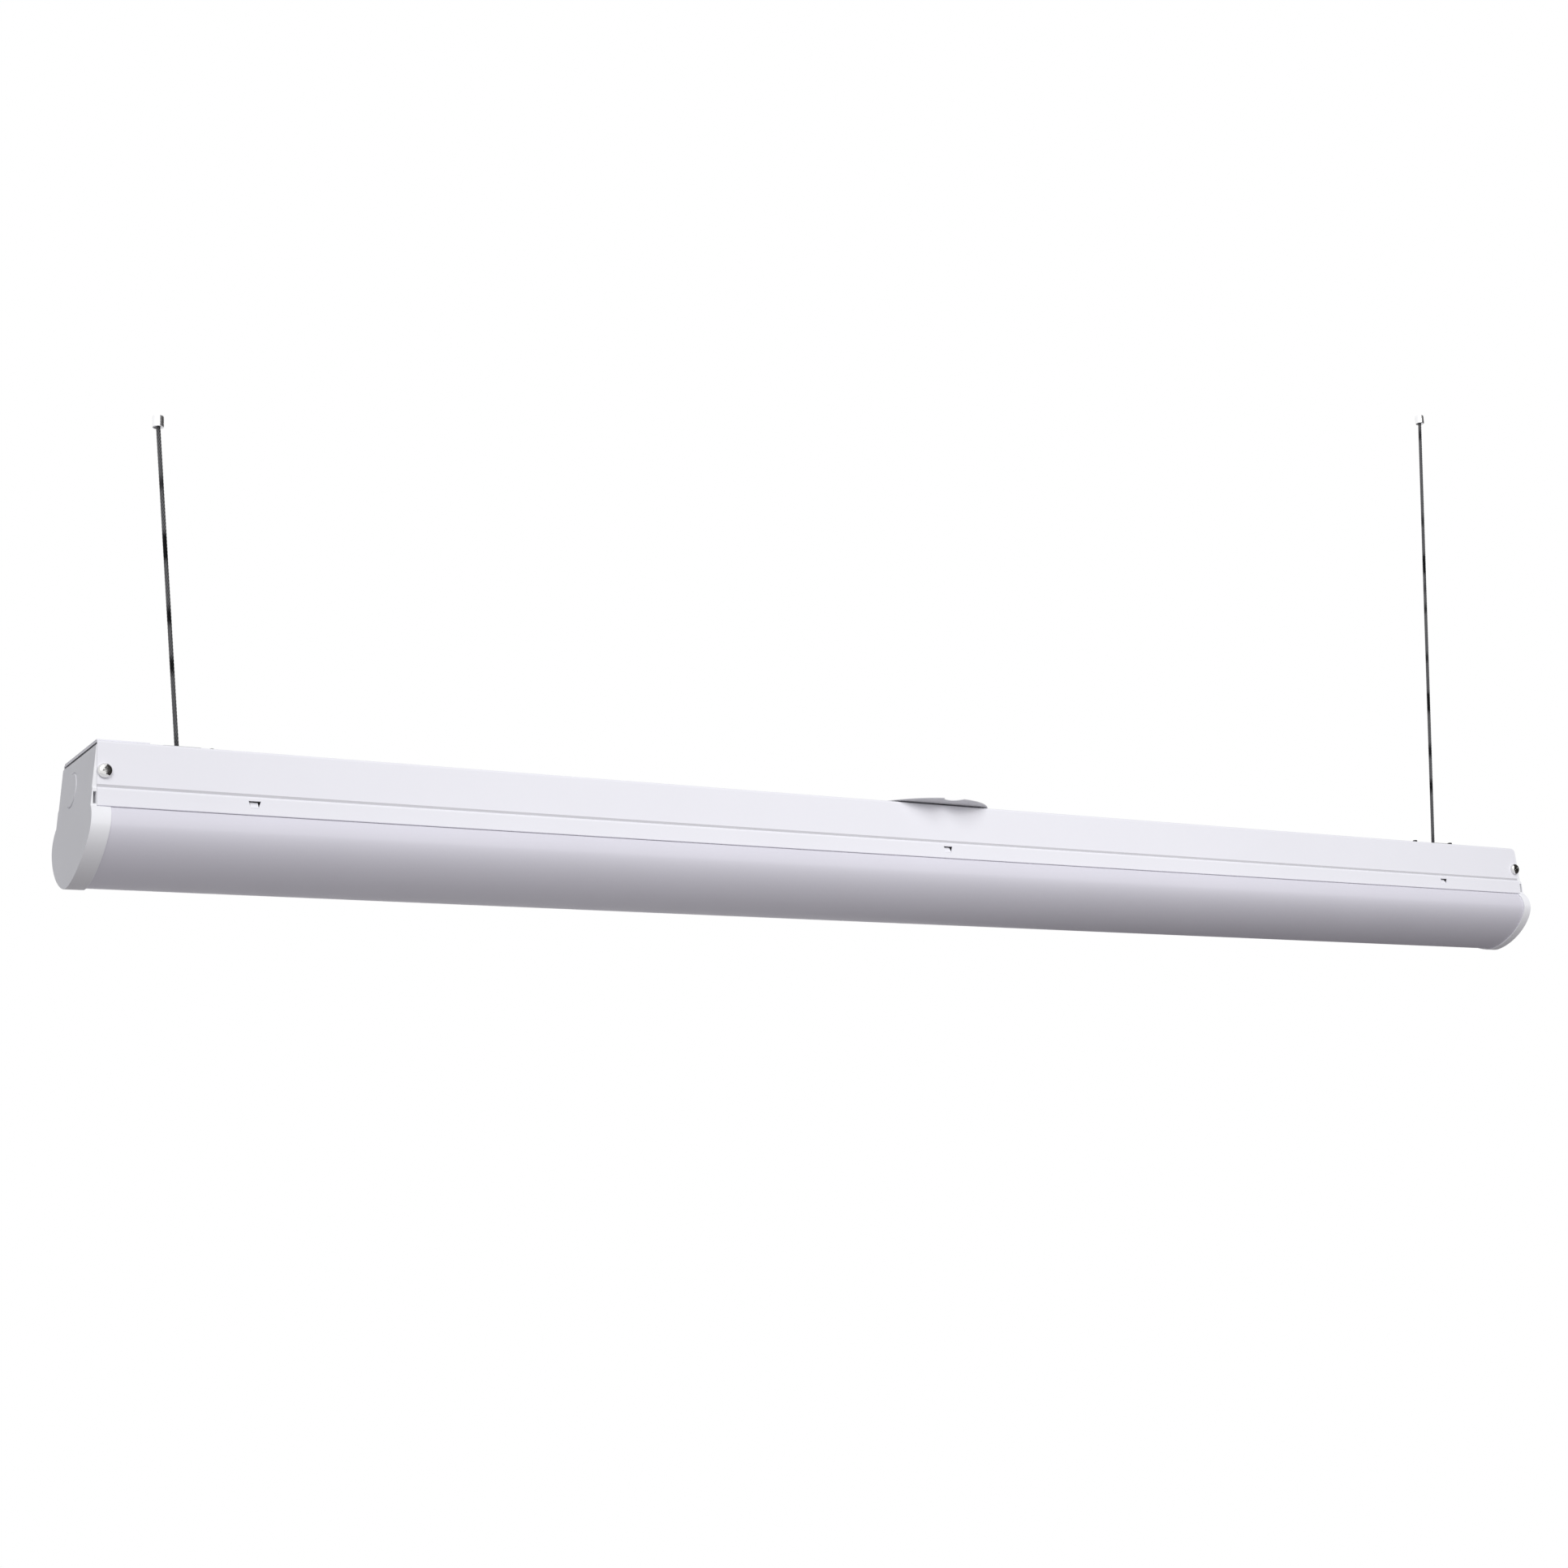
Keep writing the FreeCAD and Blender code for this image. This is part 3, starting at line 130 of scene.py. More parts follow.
def edit(piece, kind="EDGE"):
    """Goes into edit mode on one piece, with nothing selected."""
    only(piece)
    bpy.ops.object.mode_set(mode="EDIT")
    bpy.ops.mesh.select_mode(type=kind)
    bpy.ops.mesh.select_all(action="DESELECT")


def done():
    """Goes back to object mode."""
    bpy.ops.object.mode_set(mode="OBJECT")


def pick(piece, kind, test):
    """In edit mode, selects the verts, edges or faces whose middle passes the test."""
    mesh = bmesh.from_edit_mesh(piece.data)
    count = 0
    for part in getattr(mesh, kind):
        corners = [part] if kind == "verts" else list(part.verts)
        middle = sum((corner.co for corner in corners), Vector()) / len(corners)
        if test(part, middle):
            part.select_set(True)
            count += 1
    mesh.select_flush_mode()
    bmesh.update_edit_mesh(piece.data)
    return count


def runs_along(edge, least):
    """True for an inner edge that runs along X for more than so many metres."""
    return abs(edge.verts[0].co.x - edge.verts[1].co.x) > least and not edge.is_boundary


def modify(piece, kind, **settings):
    """Adds one modifier and applies it at once."""
    only(piece)
    modifier = piece.modifiers.new(kind.lower(), kind)
    for name, value in settings.items():
        setattr(modifier, name, value)
    bpy.ops.object.modifier_apply(modifier=modifier.name)


def soften(piece, width, segments=2, angle=32):
    """Breaks the sharp edges with a small bevel, as a press tool or a mould leaves them."""
    modify(
        piece,
        "BEVEL",
        width=width * MM,
        segments=segments,
        limit_method="ANGLE",
        angle_limit=math.radians(angle),
        harden_normals=False,
    )


def combine(piece, tool, how):
    """Adds a second shape to a piece, cuts it out or keeps what they share, and deletes it."""
    modify(piece, "BOOLEAN", operation=how, solver="EXACT", object=tool)
    bpy.data.objects.remove(tool)


def cut(piece, *cutters):
    """Takes the cutters' shapes out of a piece, and deletes the cutters."""
    for cutter in cutters:
        combine(piece, cutter, "DIFFERENCE")


def settle(piece):
    """Puts the object at the origin, with its place in its mesh."""
    only(piece)
    bpy.ops.object.transform_apply(location=True, rotation=True, scale=True)


def turn_and_place(piece, angle, centre):
    """Turns a piece about the upright line at the channel's middle, and moves it to a place."""
    spin = Matrix.Rotation(angle, 4, "Z")
    piece.matrix_world = Matrix.Translation(at(*centre)) @ spin @ Matrix.Translation(-at(0, 0, 0))
    settle(piece)


def outward(piece):
    """Merges doubles and turns every face outwards."""
    edit(piece, "FACE")
    bpy.ops.mesh.select_all(action="SELECT")
    bpy.ops.mesh.remove_doubles(threshold=1e-6)
    bpy.ops.mesh.normals_make_consistent(inside=False)
    done()


def smooth(piece, angle=30):
    """Shades a piece smooth, and keeps the edges sharper than the angle crisp."""
    only(piece)
    bpy.ops.object.shade_smooth_by_angle(angle=math.radians(angle))


def join(name, pieces):
    """Makes one object of several."""
    only(*pieces)
    if len(pieces) > 1:
        bpy.ops.object.join()
    whole = bpy.context.view_layer.objects.active
    whole.name = name
    return whole


# %% [markdown]
# ## Ways of making a form
# Three ways make nearly everything here. A folded strip starts as one plane and grows by
# extruding its free edge. A turned piece starts as a circle, and its rim is extruded and resized
# again and again. A block is a cube at its size, whose edges are then broken.

# %% Folded strips, turned pieces and blocks


def fold(name, corners, left, right, closed=False):
    """A sheet along X that runs through the (y, z) corners, by extruding its free edge."""
    (y0, z0), (y1, z1) = corners[:2]
    run = math.hypot(y1 - y0, z1 - z0)
    bpy.ops.object.select_all(action="DESELECT")
    bpy.ops.mesh.primitive_plane_add(
        size=1, location=at((left + right) / 2, (y0 + y1) / 2, (z0 + z1) / 2)
    )
    sheet = bpy.context.active_object
    sheet.name = name
    sheet.scale = ((right - left) * MM, run * MM, 1)
    sheet.rotation_euler = (math.atan2(z1 - z0, y1 - y0), 0, 0)
    settle(sheet)
    edit(sheet)
    free = at(0, y1, z1)
    pick(
        sheet,
        "edges",
        lambda edge, middle: math.hypot(middle.y - free.y, middle.z - free.z) < 1e-5,
    )
    for (ya, za), (yb, zb) in zip(corners[1:], corners[2:]):
        step = (0, (yb - ya) * MM, (zb - za) * MM)
        bpy.ops.mesh.extrude_edges_move(TRANSFORM_OT_translate={"value": step})
    if closed:
        bpy.ops.mesh.select_all(action="SELECT")
        bpy.ops.mesh.remove_doubles(threshold=1e-6)
    done()
    return sheet


def fill_end(piece, x):
    """Fills the open end at one x, in millimetres from the channel's middle."""
    edit(piece)
    place = at(x, 0, 0).x
    pick(
        piece,
        "edges",
        lambda edge, middle: edge.is_boundary and abs(middle.x - place) < 1e-5,
    )
    bpy.ops.mesh.edge_face_add()
    done()


def turned(name, centre, rings, segments=48, axis=(0, 0, 1)):
    """A turned piece about an axis through centre; rings are (radius, height) pairs in mm."""
    bpy.ops.object.select_all(action="DESELECT")
    size, height = rings[0]
    bpy.ops.mesh.primitive_circle_add(
        vertices=segments, radius=size * MM, location=(0, 0, height * MM), fill_type="NGON"
    )
    piece = bpy.context.active_object
    piece.name = name
    settle(piece)
    edit(piece, "FACE")
    bpy.ops.mesh.select_all(action="SELECT")
    for radius, after in rings[1:]:
        bpy.ops.mesh.extrude_region_move(
            TRANSFORM_OT_translate={"value": (0, 0, (after - height) * MM)}
        )
        share = radius / size
        bpy.ops.transform.resize(
            value=(share, share, 1), center_override=(0, 0, after * MM)
        )
        size, height = radius, after
    done()
    outward(piece)
    tilt = Vector((0, 0, 1)).rotation_difference(Vector(axis).normalized())
    piece.matrix_world = Matrix.Translation(centre) @ tilt.to_matrix().to_4x4()
    settle(piece)
    return piece


def block(name, low, high):
    """A cube between two corners, in millimetres in the light's own frame."""
    bpy.ops.object.select_all(action="DESELECT")
    middle = [(a + b) / 2 for a, b in zip(low, high)]
    bpy.ops.mesh.primitive_cube_add(size=1, location=at(*middle))
    piece = bpy.context.active_object
    piece.name = name
    piece.scale = [(b - a) * MM for a, b in zip(low, high)]
    settle(piece)
    return piece


def rod(name, centre, radius, depth, axis=(0, 0, 1), segments=32):
    """A cylinder centred on a place in the light's own frame, along an axis."""
    bpy.ops.object.select_all(action="DESELECT")
    bpy.ops.mesh.primitive_cylinder_add(
        vertices=segments, radius=radius * MM, depth=depth * MM, location=at(*centre)
    )
    piece = bpy.context.active_object
    piece.name = name
    tilt = Vector((0, 0, 1)).rotation_difference(Vector(axis).normalized())
    piece.rotation_mode = "QUATERNION"
    piece.rotation_quaternion = tilt
    settle(piece)
    return piece


def slot_block(name, centre, length, radius, depth, along=(1, 0, 0)):
    """A slot-shaped cutter standing along Z: a cylinder whose two halves are pulled apart."""
    piece = rod(name, (0, 0, 0), radius, depth, segments=24)
    edit(piece, "VERT")
    half = (length / 2 - radius) * MM
    middle = at(0, 0, 0).x
    pick(piece, "verts", lambda vert, place: place.x > middle + 1e-7)
    bpy.ops.transform.translate(value=(half, 0, 0))
    bpy.ops.mesh.select_all(action="INVERT")
    bpy.ops.transform.translate(value=(-half, 0, 0))
    done()
    turn_and_place(piece, math.atan2(along[1], along[0]), centre)
    return piece


# %% [markdown]
# ## Finishes
# A finish is a shader with small life in it: a faint change of colour, a change of gloss where
# hands and dust have been, and the grain of the paint or mould in the surface. Each one reads
# Object coordinates, so a pattern has its real scale in metres and stays on the piece.

# %% The finish helper
CLOUD_SCALE = 14.0
SMEAR_SCALE = 45.0
GRAIN_DEPTH = 0.15


def noise(nodes, links, place, scale, detail):
    """A noise pattern, read at a place."""
    pattern = nodes.new("ShaderNodeTexNoise")
    pattern.inputs["Scale"].default_value = scale
    pattern.inputs["Detail"].default_value = detail
    links.new(place, pattern.inputs["Vector"])
    return pattern.outputs["Fac"]


def finish(name, colour, rough, metal=0.0, grain=0.0, grain_size=0.4, cloud=0.0, uneven=0.0, **more):
    """A principled finish with cloudy colour, uneven gloss and a fine grain, sizes in mm."""
    made = bpy.data.materials.new(name)
    made.use_nodes = True
    nodes, links = made.node_tree.nodes, made.node_tree.links
    shader = nodes["Principled BSDF"]
    shader.inputs["Metallic"].default_value = metal
    shader.inputs["Roughness"].default_value = rough
    shader.inputs["Base Color"].default_value = (*colour, 1)
    for socket, value in more.items():
        shader.inputs[socket.replace("_", " ")].default_value = value
    place = nodes.new("ShaderNodeTexCoord").outputs["Object"]
    if cloud:
        soft = noise(nodes, links, place, CLOUD_SCALE, 4.0)
        blend = nodes.new("ShaderNodeMix")
        blend.data_type = "RGBA"
        dark = tuple(max(0.0, part * (1 - cloud)) for part in colour)
        light = tuple(min(1.0, part * (1 + cloud * 0.6)) for part in colour)
        blend.inputs["A"].default_value = (*dark, 1)
        blend.inputs["B"].default_value = (*light, 1)
        links.new(soft, blend.inputs["Factor"])
        links.new(blend.outputs["Result"], shader.inputs["Base Color"])
    if uneven:
        smear = noise(nodes, links, place, SMEAR_SCALE, 6.0)
        span = nodes.new("ShaderNodeMapRange")
        span.inputs["To Min"].default_value = max(0.02, rough - uneven)
        span.inputs["To Max"].default_value = min(1.0, rough + uneven)
        links.new(smear, span.inputs["Value"])
        links.new(span.outputs["Result"], shader.inputs["Roughness"])
    if grain:
        fine = noise(nodes, links, place, 1000 / grain_size, 3.0)
        bump = nodes.new("ShaderNodeBump")
        bump.inputs["Strength"].default_value = grain
        bump.inputs["Distance"].default_value = grain_size * MM * GRAIN_DEPTH
        links.new(fine, bump.inputs["Height"])
        links.new(bump.outputs["Normal"], shader.inputs["Normal"])
    return made


def dress(piece, name, material, body, slot, *nodes):
    """Names a finished piece, gives it its finish, and hangs it on its body."""
    piece.name = name
    piece.data.name = name
    piece.data.materials.clear()
    piece.data.materials.append(material)
    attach(piece, body)
    if nodes:
        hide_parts(*nodes)
    return piece


# %% [markdown]
# The channel is powder-coated: a matt white with a very fine orange-peel. The lens and caps are
# moulded: the lens is a cloudy, faintly lavender white, and the caps are plain white.

# %% Finishes of the outside
PAINT = finish(
    "white powder coat", (0.875, 0.87, 0.915), 0.48,
    grain=0.25, grain_size=0.7, cloud=0.02, uneven=0.07,
)
# Painted shade: a darker paint for the groove's roof, so the groove shows a grey line.
GROOVE_SHADE_PAINT = finish(
    "powder coat with painted groove shade", (0.66, 0.655, 0.68), 0.6,
    grain=0.3, grain_size=0.7, cloud=0.06, uneven=0.07,
)
LENS = finish(
    "frosted lens", (0.72, 0.705, 0.77), 0.42,
    grain=0.2, grain_size=0.5, cloud=0.025, uneven=0.06,
)
CAP = finish(
    "white moulding", (0.89, 0.89, 0.915), 0.55,
    grain=0.2, grain_size=0.35, cloud=0.02, uneven=0.08, Specular_IOR_Level=0.15,
)
CHROME = finish(
    "bright screw plating", (0.76, 0.755, 0.75), 0.11,
    metal=1.0, cloud=0.05, uneven=0.06,
)
ZINC = finish(
    "zinc plating", (0.62, 0.63, 0.65), 0.34,
    metal=1.0, grain=0.2, grain_size=0.5, cloud=0.12, uneven=0.1,
)
PLATE = finish(
    "painted cover", (0.70, 0.70, 0.72), 0.5,
    grain=0.25, grain_size=0.7, cloud=0.03, uneven=0.08,
)
RUBBER = finish(
    "black rubber", (0.022, 0.022, 0.023), 0.75,
    grain=0.4, grain_size=0.5, cloud=0.2, uneven=0.08,
)
CUP = finish(
    "bright zinc plating", (0.92, 0.92, 0.93), 0.4,
    metal=1.0, cloud=0.03, uneven=0.06,
)
STUD_STEEL = finish(
    "blackened steel", (0.05, 0.05, 0.052), 0.45,
    metal=1.0, grain=0.2, grain_size=0.4, cloud=0.15, uneven=0.08,
)
CABLE = finish(
    "steel wire", (0.10, 0.10, 0.105), 0.5,
    metal=1.0, grain=0.15, grain_size=0.2, uneven=0.1,
)
print("nodes of the paint:", [node.name for node in PAINT.node_tree.nodes])

# %% [markdown]
# The wire is darker in some stretches than in others. The stretches
# follow the height alone, so they look like bands on the cable.

# %% Dark stretches on the cable
STRETCH_SCALE = 30.0
WIRE_DARK = (0.012, 0.012, 0.013, 1)
WIRE_PALER = (0.11, 0.11, 0.115, 1)

nodes, links = CABLE.node_tree.nodes, CABLE.node_tree.links
place = nodes.new("ShaderNodeTexCoord")
only_height = nodes.new("ShaderNodeMapping")
only_height.inputs["Scale"].default_value = (0, 0, 1)
links.new(place.outputs["Object"], only_height.inputs["Vector"])
stretch = noise(nodes, links, only_height.outputs["Vector"], STRETCH_SCALE, 1.0)
edge = nodes.new("ShaderNodeMapRange")
edge.inputs["From Min"].default_value = 0.42
edge.inputs["From Max"].default_value = 0.50
links.new(stretch, edge.inputs["Value"])
tones = nodes.new("ShaderNodeMix")
tones.data_type = "RGBA"
tones.inputs["A"].default_value = WIRE_DARK
tones.inputs["B"].default_value = WIRE_PALER
links.new(edge.outputs["Result"], tones.inputs["Factor"])
links.new(tones.outputs["Result"], nodes["Principled BSDF"].inputs["Base Color"])

# %% [markdown]
# ## The channel
# On the real light one steel sheet is folded into a long inverted trough. Below a small step its
# skirt stands a little further out, and its edge is hemmed back on itself. A folded strip does
# the same: it follows the middle of the sheet, its bends are rounded, and it gets its gauge last.

# %% The folded sheet
GAUGE = 1.0
TOP_HALF = 37.65
SKIRT_HALF = 38.9
STEP = 28.0
STEP_DROP = 1.5
SKIRT = 39.7
HEM = 3.0
TOP_BEND, LOW_BEND = 1.0, 0.3

half_gauge = GAUGE / 2
wall_y = TOP_HALF - half_gauge
skirt_y = SKIRT_HALF - half_gauge
hem_y = SKIRT_HALF - 3 * half_gauge - 0.05
side = [
    (wall_y, -half_gauge),
    (wall_y, -STEP - 0.4),
    (skirt_y, -STEP - STEP_DROP),
    (skirt_y, -SKIRT + half_gauge),
    (hem_y, -SKIRT + half_gauge),
    (hem_y, -SKIRT + HEM),
]
profile = [(-y, z) for y, z in reversed(side)] + side
channel = fold("channel", profile, -CHANNEL_END, CHANNEL_END)
edit(channel)
bends = pick(
    channel,
    "edges",
    lambda edge, middle: runs_along(edge, 0.5)
    and abs(abs(middle.y) - wall_y * MM) < 1e-5
    and middle.z > at(0, 0, -1).z,
)
bpy.ops.mesh.bevel(offset=TOP_BEND * MM, segments=5, affect="EDGES")
bpy.ops.mesh.select_all(action="DESELECT")
bends += pick(
    channel,
    "edges",
    lambda edge, middle: runs_along(edge, 0.5) and middle.z < at(0, 0, -STEP - 1.0).z,
)
bpy.ops.mesh.bevel(offset=LOW_BEND * MM, segments=3, affect="EDGES")
done()
outward(channel)
modify(channel, "SOLIDIFY", thickness=GAUGE * MM, offset=0.0, use_even_offset=True)
outward(channel)
print("channel bends:", bends)

# %% [markdown]
# Punches open the sheet. Each wall has three small tapered lances. The top has the wire way, two
# slots for a ceiling box and two slots for fixing the channel straight onto a ceiling.

# %% Lances and openings
LANCES = (-CHANNEL_END + 94.5, 1.4, CHANNEL_END - 93.4)
LANCE_LOW, LANCE_HIGH = -35.5, -31.0
LANCE_HALF = 3.9
LANCE_TAPER = 0.62
THROUGH = 6
WIRE_WAY = 11.1
BOX_SLOTS = (-44.45, 44.45)
BOX_SLOT = (12.0, 2.4)
CEILING_SLOTS = (-400, 400)
CEILING_SLOT = (16.0, 3.2)

cutters = []
for x in LANCES:
    lance = block("lance", (x - LANCE_HALF, -60, LANCE_LOW), (x + LANCE_HALF, 60, LANCE_HIGH))
    edit(lance, "FACE")
    pick(lance, "faces", lambda face, middle: face.normal.z < -0.5)
    centre = sum((vert.co for vert in lance.data.vertices), Vector()) / 8
    bpy.ops.transform.resize(value=(LANCE_TAPER, 1, 1), center_override=centre)
    done()
    cutters.append(lance)
cutters.append(rod("wire way", (0, 0, 0), WIRE_WAY, THROUGH, segments=48))
for x in CEILING_SLOTS:
    cutters.append(slot_block("ceiling slot", (x, 0, 0), *CEILING_SLOT, THROUGH))
for x in BOX_SLOTS:
    cutters.append(slot_block("box slot", (x, 0, 0), *BOX_SLOT, THROUGH))
print("punches:", len(cutters))

# %% [markdown]
# A shallow groove runs just above the step, and its sloping roof shows as a grey line, partly from
# its slope and partly from a painted shade on it. It is cut from outside with a long wedge, so the
# inside of the sheet stays flat beside the tray. At the far end a small relief opens the top corners
# of the sheet.

# %% The groove and the corner reliefs
GROOVE_TOP, GROOVE_FOOT = -26.5, -28.3
GROOVE_DEEP = 0.72
RELIEF = 1.7

for away in (-1, 1):
    wedge_shape = [
        (away * (TOP_HALF + 0.36), GROOVE_TOP + 0.9),
        (away * (TOP_HALF - GROOVE_DEEP), GROOVE_FOOT),
        (away * (TOP_HALF + 0.8), GROOVE_FOOT),
    ]
    half = CHANNEL_END + 1
    wedge = fold("groove", wedge_shape + wedge_shape[:1], -half, half, closed=True)
    fill_end(wedge, -half)
    fill_end(wedge, half)
    outward(wedge)
    cutters.append(wedge)
    low_y, high_y = sorted((away * 35.6, away * 40.0))
    relief = block(
        "corner relief",
        (CHANNEL_END - RELIEF, low_y, -RELIEF),
        (CHANNEL_END + RELIEF, high_y, RELIEF),
    )
    edit(relief, "FACE")
    bpy.ops.mesh.select_all(action="SELECT")
    bpy.ops.transform.rotate(
        value=math.radians(45), orient_axis="Y", center_override=at(CHANNEL_END, 0, 0)
    )
    done()
    cutters.append(relief)
cut(channel, *cutters)
outward(channel)
print("cuts in the channel:", len(cutters))

# %% [markdown]
# Each lance leaves a short tab, bent inwards. With the tabs joined on, the channel is painted. The
# groove's sloping roof gets a darker paint, a painted shade that makes the groove show as a grey
# line.

# %% Lance tabs and paint
TAB_HALF = 2.5
TAB_LEAN = 2.3
TAB_GAUGE = GAUGE * 0.9

tabs = []
for x in LANCES:
    for away in (-1, 1):
        corners = [
            (away * skirt_y, LANCE_LOW),
            (away * (skirt_y - TAB_LEAN), LANCE_HIGH - 0.6),
        ]
        tab = fold("tab", corners, x - TAB_HALF, x + TAB_HALF)
        modify(tab, "SOLIDIFY", thickness=TAB_GAUGE * MM, offset=0.0)
        tabs.append(tab)
channel = join("channel", [channel, *tabs])
smooth(channel, 20)
modify(channel, "WEIGHTED_NORMAL", keep_sharp=True, weight=80)
dress(channel, "channel_shell", PAINT, "fixture", "white_steel", "housing_channel")

# The groove's roof faces get the darker paint, a painted shade for the groove.
channel.data.materials.append(GROOVE_SHADE_PAINT)
roofs = 0
for face in channel.data.polygons:
    place = (face.center - LIGHT) / MM
    if GROOVE_FOOT < place.z < GROOVE_TOP and 37.0 < abs(place.y) < TOP_HALF - 0.1:
        face.material_index = 1
        roofs += 1
print("groove faces with painted shade:", roofs)

# %% [markdown]
# ## The lens
# The lens is one extruded plastic wall. Seen from the end it is a soft V with a round bottom. Its
# outline is a superellipse, which a designer would draw as one smooth curve through the widest
# line and the lowest point.

# %% Lens outline
LENS_HALF = 43.3
LENS_WIDEST = 51.1
LENS_BOTTOM = 81.9
LENS_POWER = 1.6
NECK = 38.5
LIP = 40.1


def belly(grow, steps):
    """Points of the lens outline from its widest line at the back round to the front."""
    points = []
    for step in range(steps + 1):
        angle = math.pi * step / steps
        across = math.copysign(abs(math.cos(angle)) ** (2 / LENS_POWER), math.cos(angle))
        down = math.sin(angle) ** (2 / LENS_POWER)
        drop = LENS_BOTTOM - LENS_WIDEST + grow
        points.append((across * (LENS_HALF + grow), -LENS_WIDEST - down * drop))
    return points


def cheek(grow, neck, steps):
    """Points from the lip out to the widest line, at the back."""
    points = []
    half = LENS_HALF + grow
    for step in range(steps):
        share = step / steps
        drop = LIP + share * (LENS_WIDEST - LIP)
        points.append((half - (half - neck) * (1 - share) ** 2.5, -drop))
    return points


def outline(grow, neck, steps=48):
    """The lens outline from lip to lip."""
    back = cheek(grow, neck, 8)
    front = [(-y, z) for y, z in reversed(back)]
    return back + belly(grow, steps) + front


# %% [markdown]
# Two short legs run up from the outline inside the skirt, where they snap behind the hem.

# %% Lens
LENS_WALL = 1.8
LEG_TOP = -34.0

leg = SKIRT_HALF - 2 * GAUGE - 0.25
legs = [(leg, LEG_TOP), (leg, -LIP + 0.15)]
skin = legs + outline(0, NECK) + [(-y, z) for y, z in reversed(legs)]
lens = fold("lens", skin, -CHANNEL_END, CHANNEL_END)
outward(lens)
modify(lens, "SOLIDIFY", thickness=LENS_WALL * MM, offset=-1.0, use_even_offset=False)
outward(lens)
smooth(lens, 24)
dress(lens, "lens_skin", LENS, "fixture", "lens_white", "lens")
print("lens points:", len(skin))

# %% [markdown]
# ## The end caps
# Each cap is one moulding. Its face leans outwards on its way down, it shows as a thin band
# beside the channel, and a rim laps over the lens. The block is extruded from the outline and
# then sliced by a leaning plane, which is how the slope comes out the same all the way round.

# %% Cap body and rim
LEAN = math.tan(math.radians(5.05))
HALF_LENGTH = 609.5
PROUD = 1.0
CLEAR = 0.05
NEAR_RIM, FAR_RIM = 11.6, 7.8
CAP_TOP = -2.7


def face_x(z):
    """Where the left cap's face is at a height, in millimetres."""
    return -HALF_LENGTH + LEAN * z


def slice_off(piece, x, **cleared):
    """Slices a piece with the leaning plane through the top at x, and closes the cut."""
    edit(piece, "FACE")
    bpy.ops.mesh.select_all(action="SELECT")
    bpy.ops.mesh.bisect(
        plane_co=at(x, 0, 0),
        plane_no=Vector((1, 0, -LEAN)).normalized(),
        use_fill=True,
        **cleared,
    )
    done()


def make_cap(rim_width):
    """The left cap, as one closed mesh."""
    wall = [
        (TOP_HALF, CAP_TOP),
        (TOP_HALF, -STEP),
        (SKIRT_HALF, -STEP - STEP_DROP),
        (SKIRT_HALF, -SKIRT),
    ]
    over_lens = outline(PROUD, SKIRT_HALF + PROUD)
    shape = wall + over_lens + [(-y, z) for y, z in reversed(wall)]
    inner = -CHANNEL_END - CLEAR
    body = fold("cap", shape + shape[:1], -HALF_LENGTH - 20, inner, closed=True)
    fill_end(body, inner)
    slice_off(body, face_x(0), clear_inner=True)
    outward(body)

    rim = fold("rim", over_lens, -CHANNEL_END - 1.0, -CHANNEL_END + 20)
    modify(rim, "SOLIDIFY", thickness=(PROUD - CLEAR) * MM, offset=-1.0)
    outward(rim)
    slice_off(rim, face_x(0) + rim_width, clear_outer=True)
    outward(rim)
    combine(body, rim, "UNION")
    outward(body)
    return body


# %% [markdown]
# The face carries a round knockout, a thin groove round a disc that stands a little proud. Beside
# the skirt each cap has a small open slot. Both caps start as the left one, and the right one is
# turned half round.

# %% Knockout, slots and both caps
KNOCKOUT_Y, KNOCKOUT_Z = 10.2, -21.0
RING_OUT, RING_IN, RING_DEEP = 11.1, 10.4, 0.6
DISC_RINGS = [(10.3, -0.3), (10.3, 0.22), (10.15, 0.36)]
SLOT_LOW, SLOT_HIGH = -38.5, -31.2


def knockout(body):
    """Cuts the groove round the knockout, and lets its disc stand a little proud."""
    centre = at(face_x(KNOCKOUT_Z), KNOCKOUT_Y, KNOCKOUT_Z)
    normal = Vector((-1, 0, LEAN)).normalized()
    out_rings = [(RING_OUT, -RING_DEEP), (RING_OUT, RING_DEEP)]
    in_rings = [(RING_IN, -2 * RING_DEEP), (RING_IN, 2 * RING_DEEP)]
    ring = turned("knockout", centre, out_rings, 64, normal)
    core = turned("core", centre, in_rings, 64, normal)
    cut(ring, core)
    cut(body, ring)
    combine(body, turned("disc", centre, DISC_RINGS, 64, normal), "UNION")


def finish_cap(body, side, name, node):
    """Softens a cap, gives it its knockout and slots, and turns it to its end."""
    soften(body, 0.6, 3, 40)
    knockout(body)
    for away in (-1, 1):
        lower = min(away * (SKIRT_HALF - 9), away * (SKIRT_HALF + 1))
        corner = (-CHANNEL_END - 2.3, lower, SLOT_LOW)
        other = (-CHANNEL_END - 0.5, lower + 10, SLOT_HIGH)
        cut(body, block("gap", corner, other))
    outward(body)
    if side > 0:
        turn_and_place(body, math.pi, (0, 0, 0))
    smooth(body)
    modify(body, "WEIGHTED_NORMAL", keep_sharp=True, weight=80)
    dress(body, name, CAP, "fixture", "cap_white", node)
    print(name, len(body.data.polygons), "faces")


finish_cap(make_cap(NEAR_RIM), -1, "end_cap_left_moulding", "end_cap_left")
finish_cap(make_cap(FAR_RIM), 1, "end_cap_right_moulding", "end_cap_right")

# %% [markdown]
# ## Screws
# The caps are held by chrome pan-head screws with a cross recess. The head is turned, and the
# recess is cut by two crossed wedges that narrow towards their bottom.

# %% The pan head
RECESS_LONG, RECESS_WIDE, RECESS_HIGH = 1.16, 0.25, 1.1
RECESS_TAPER = 0.45


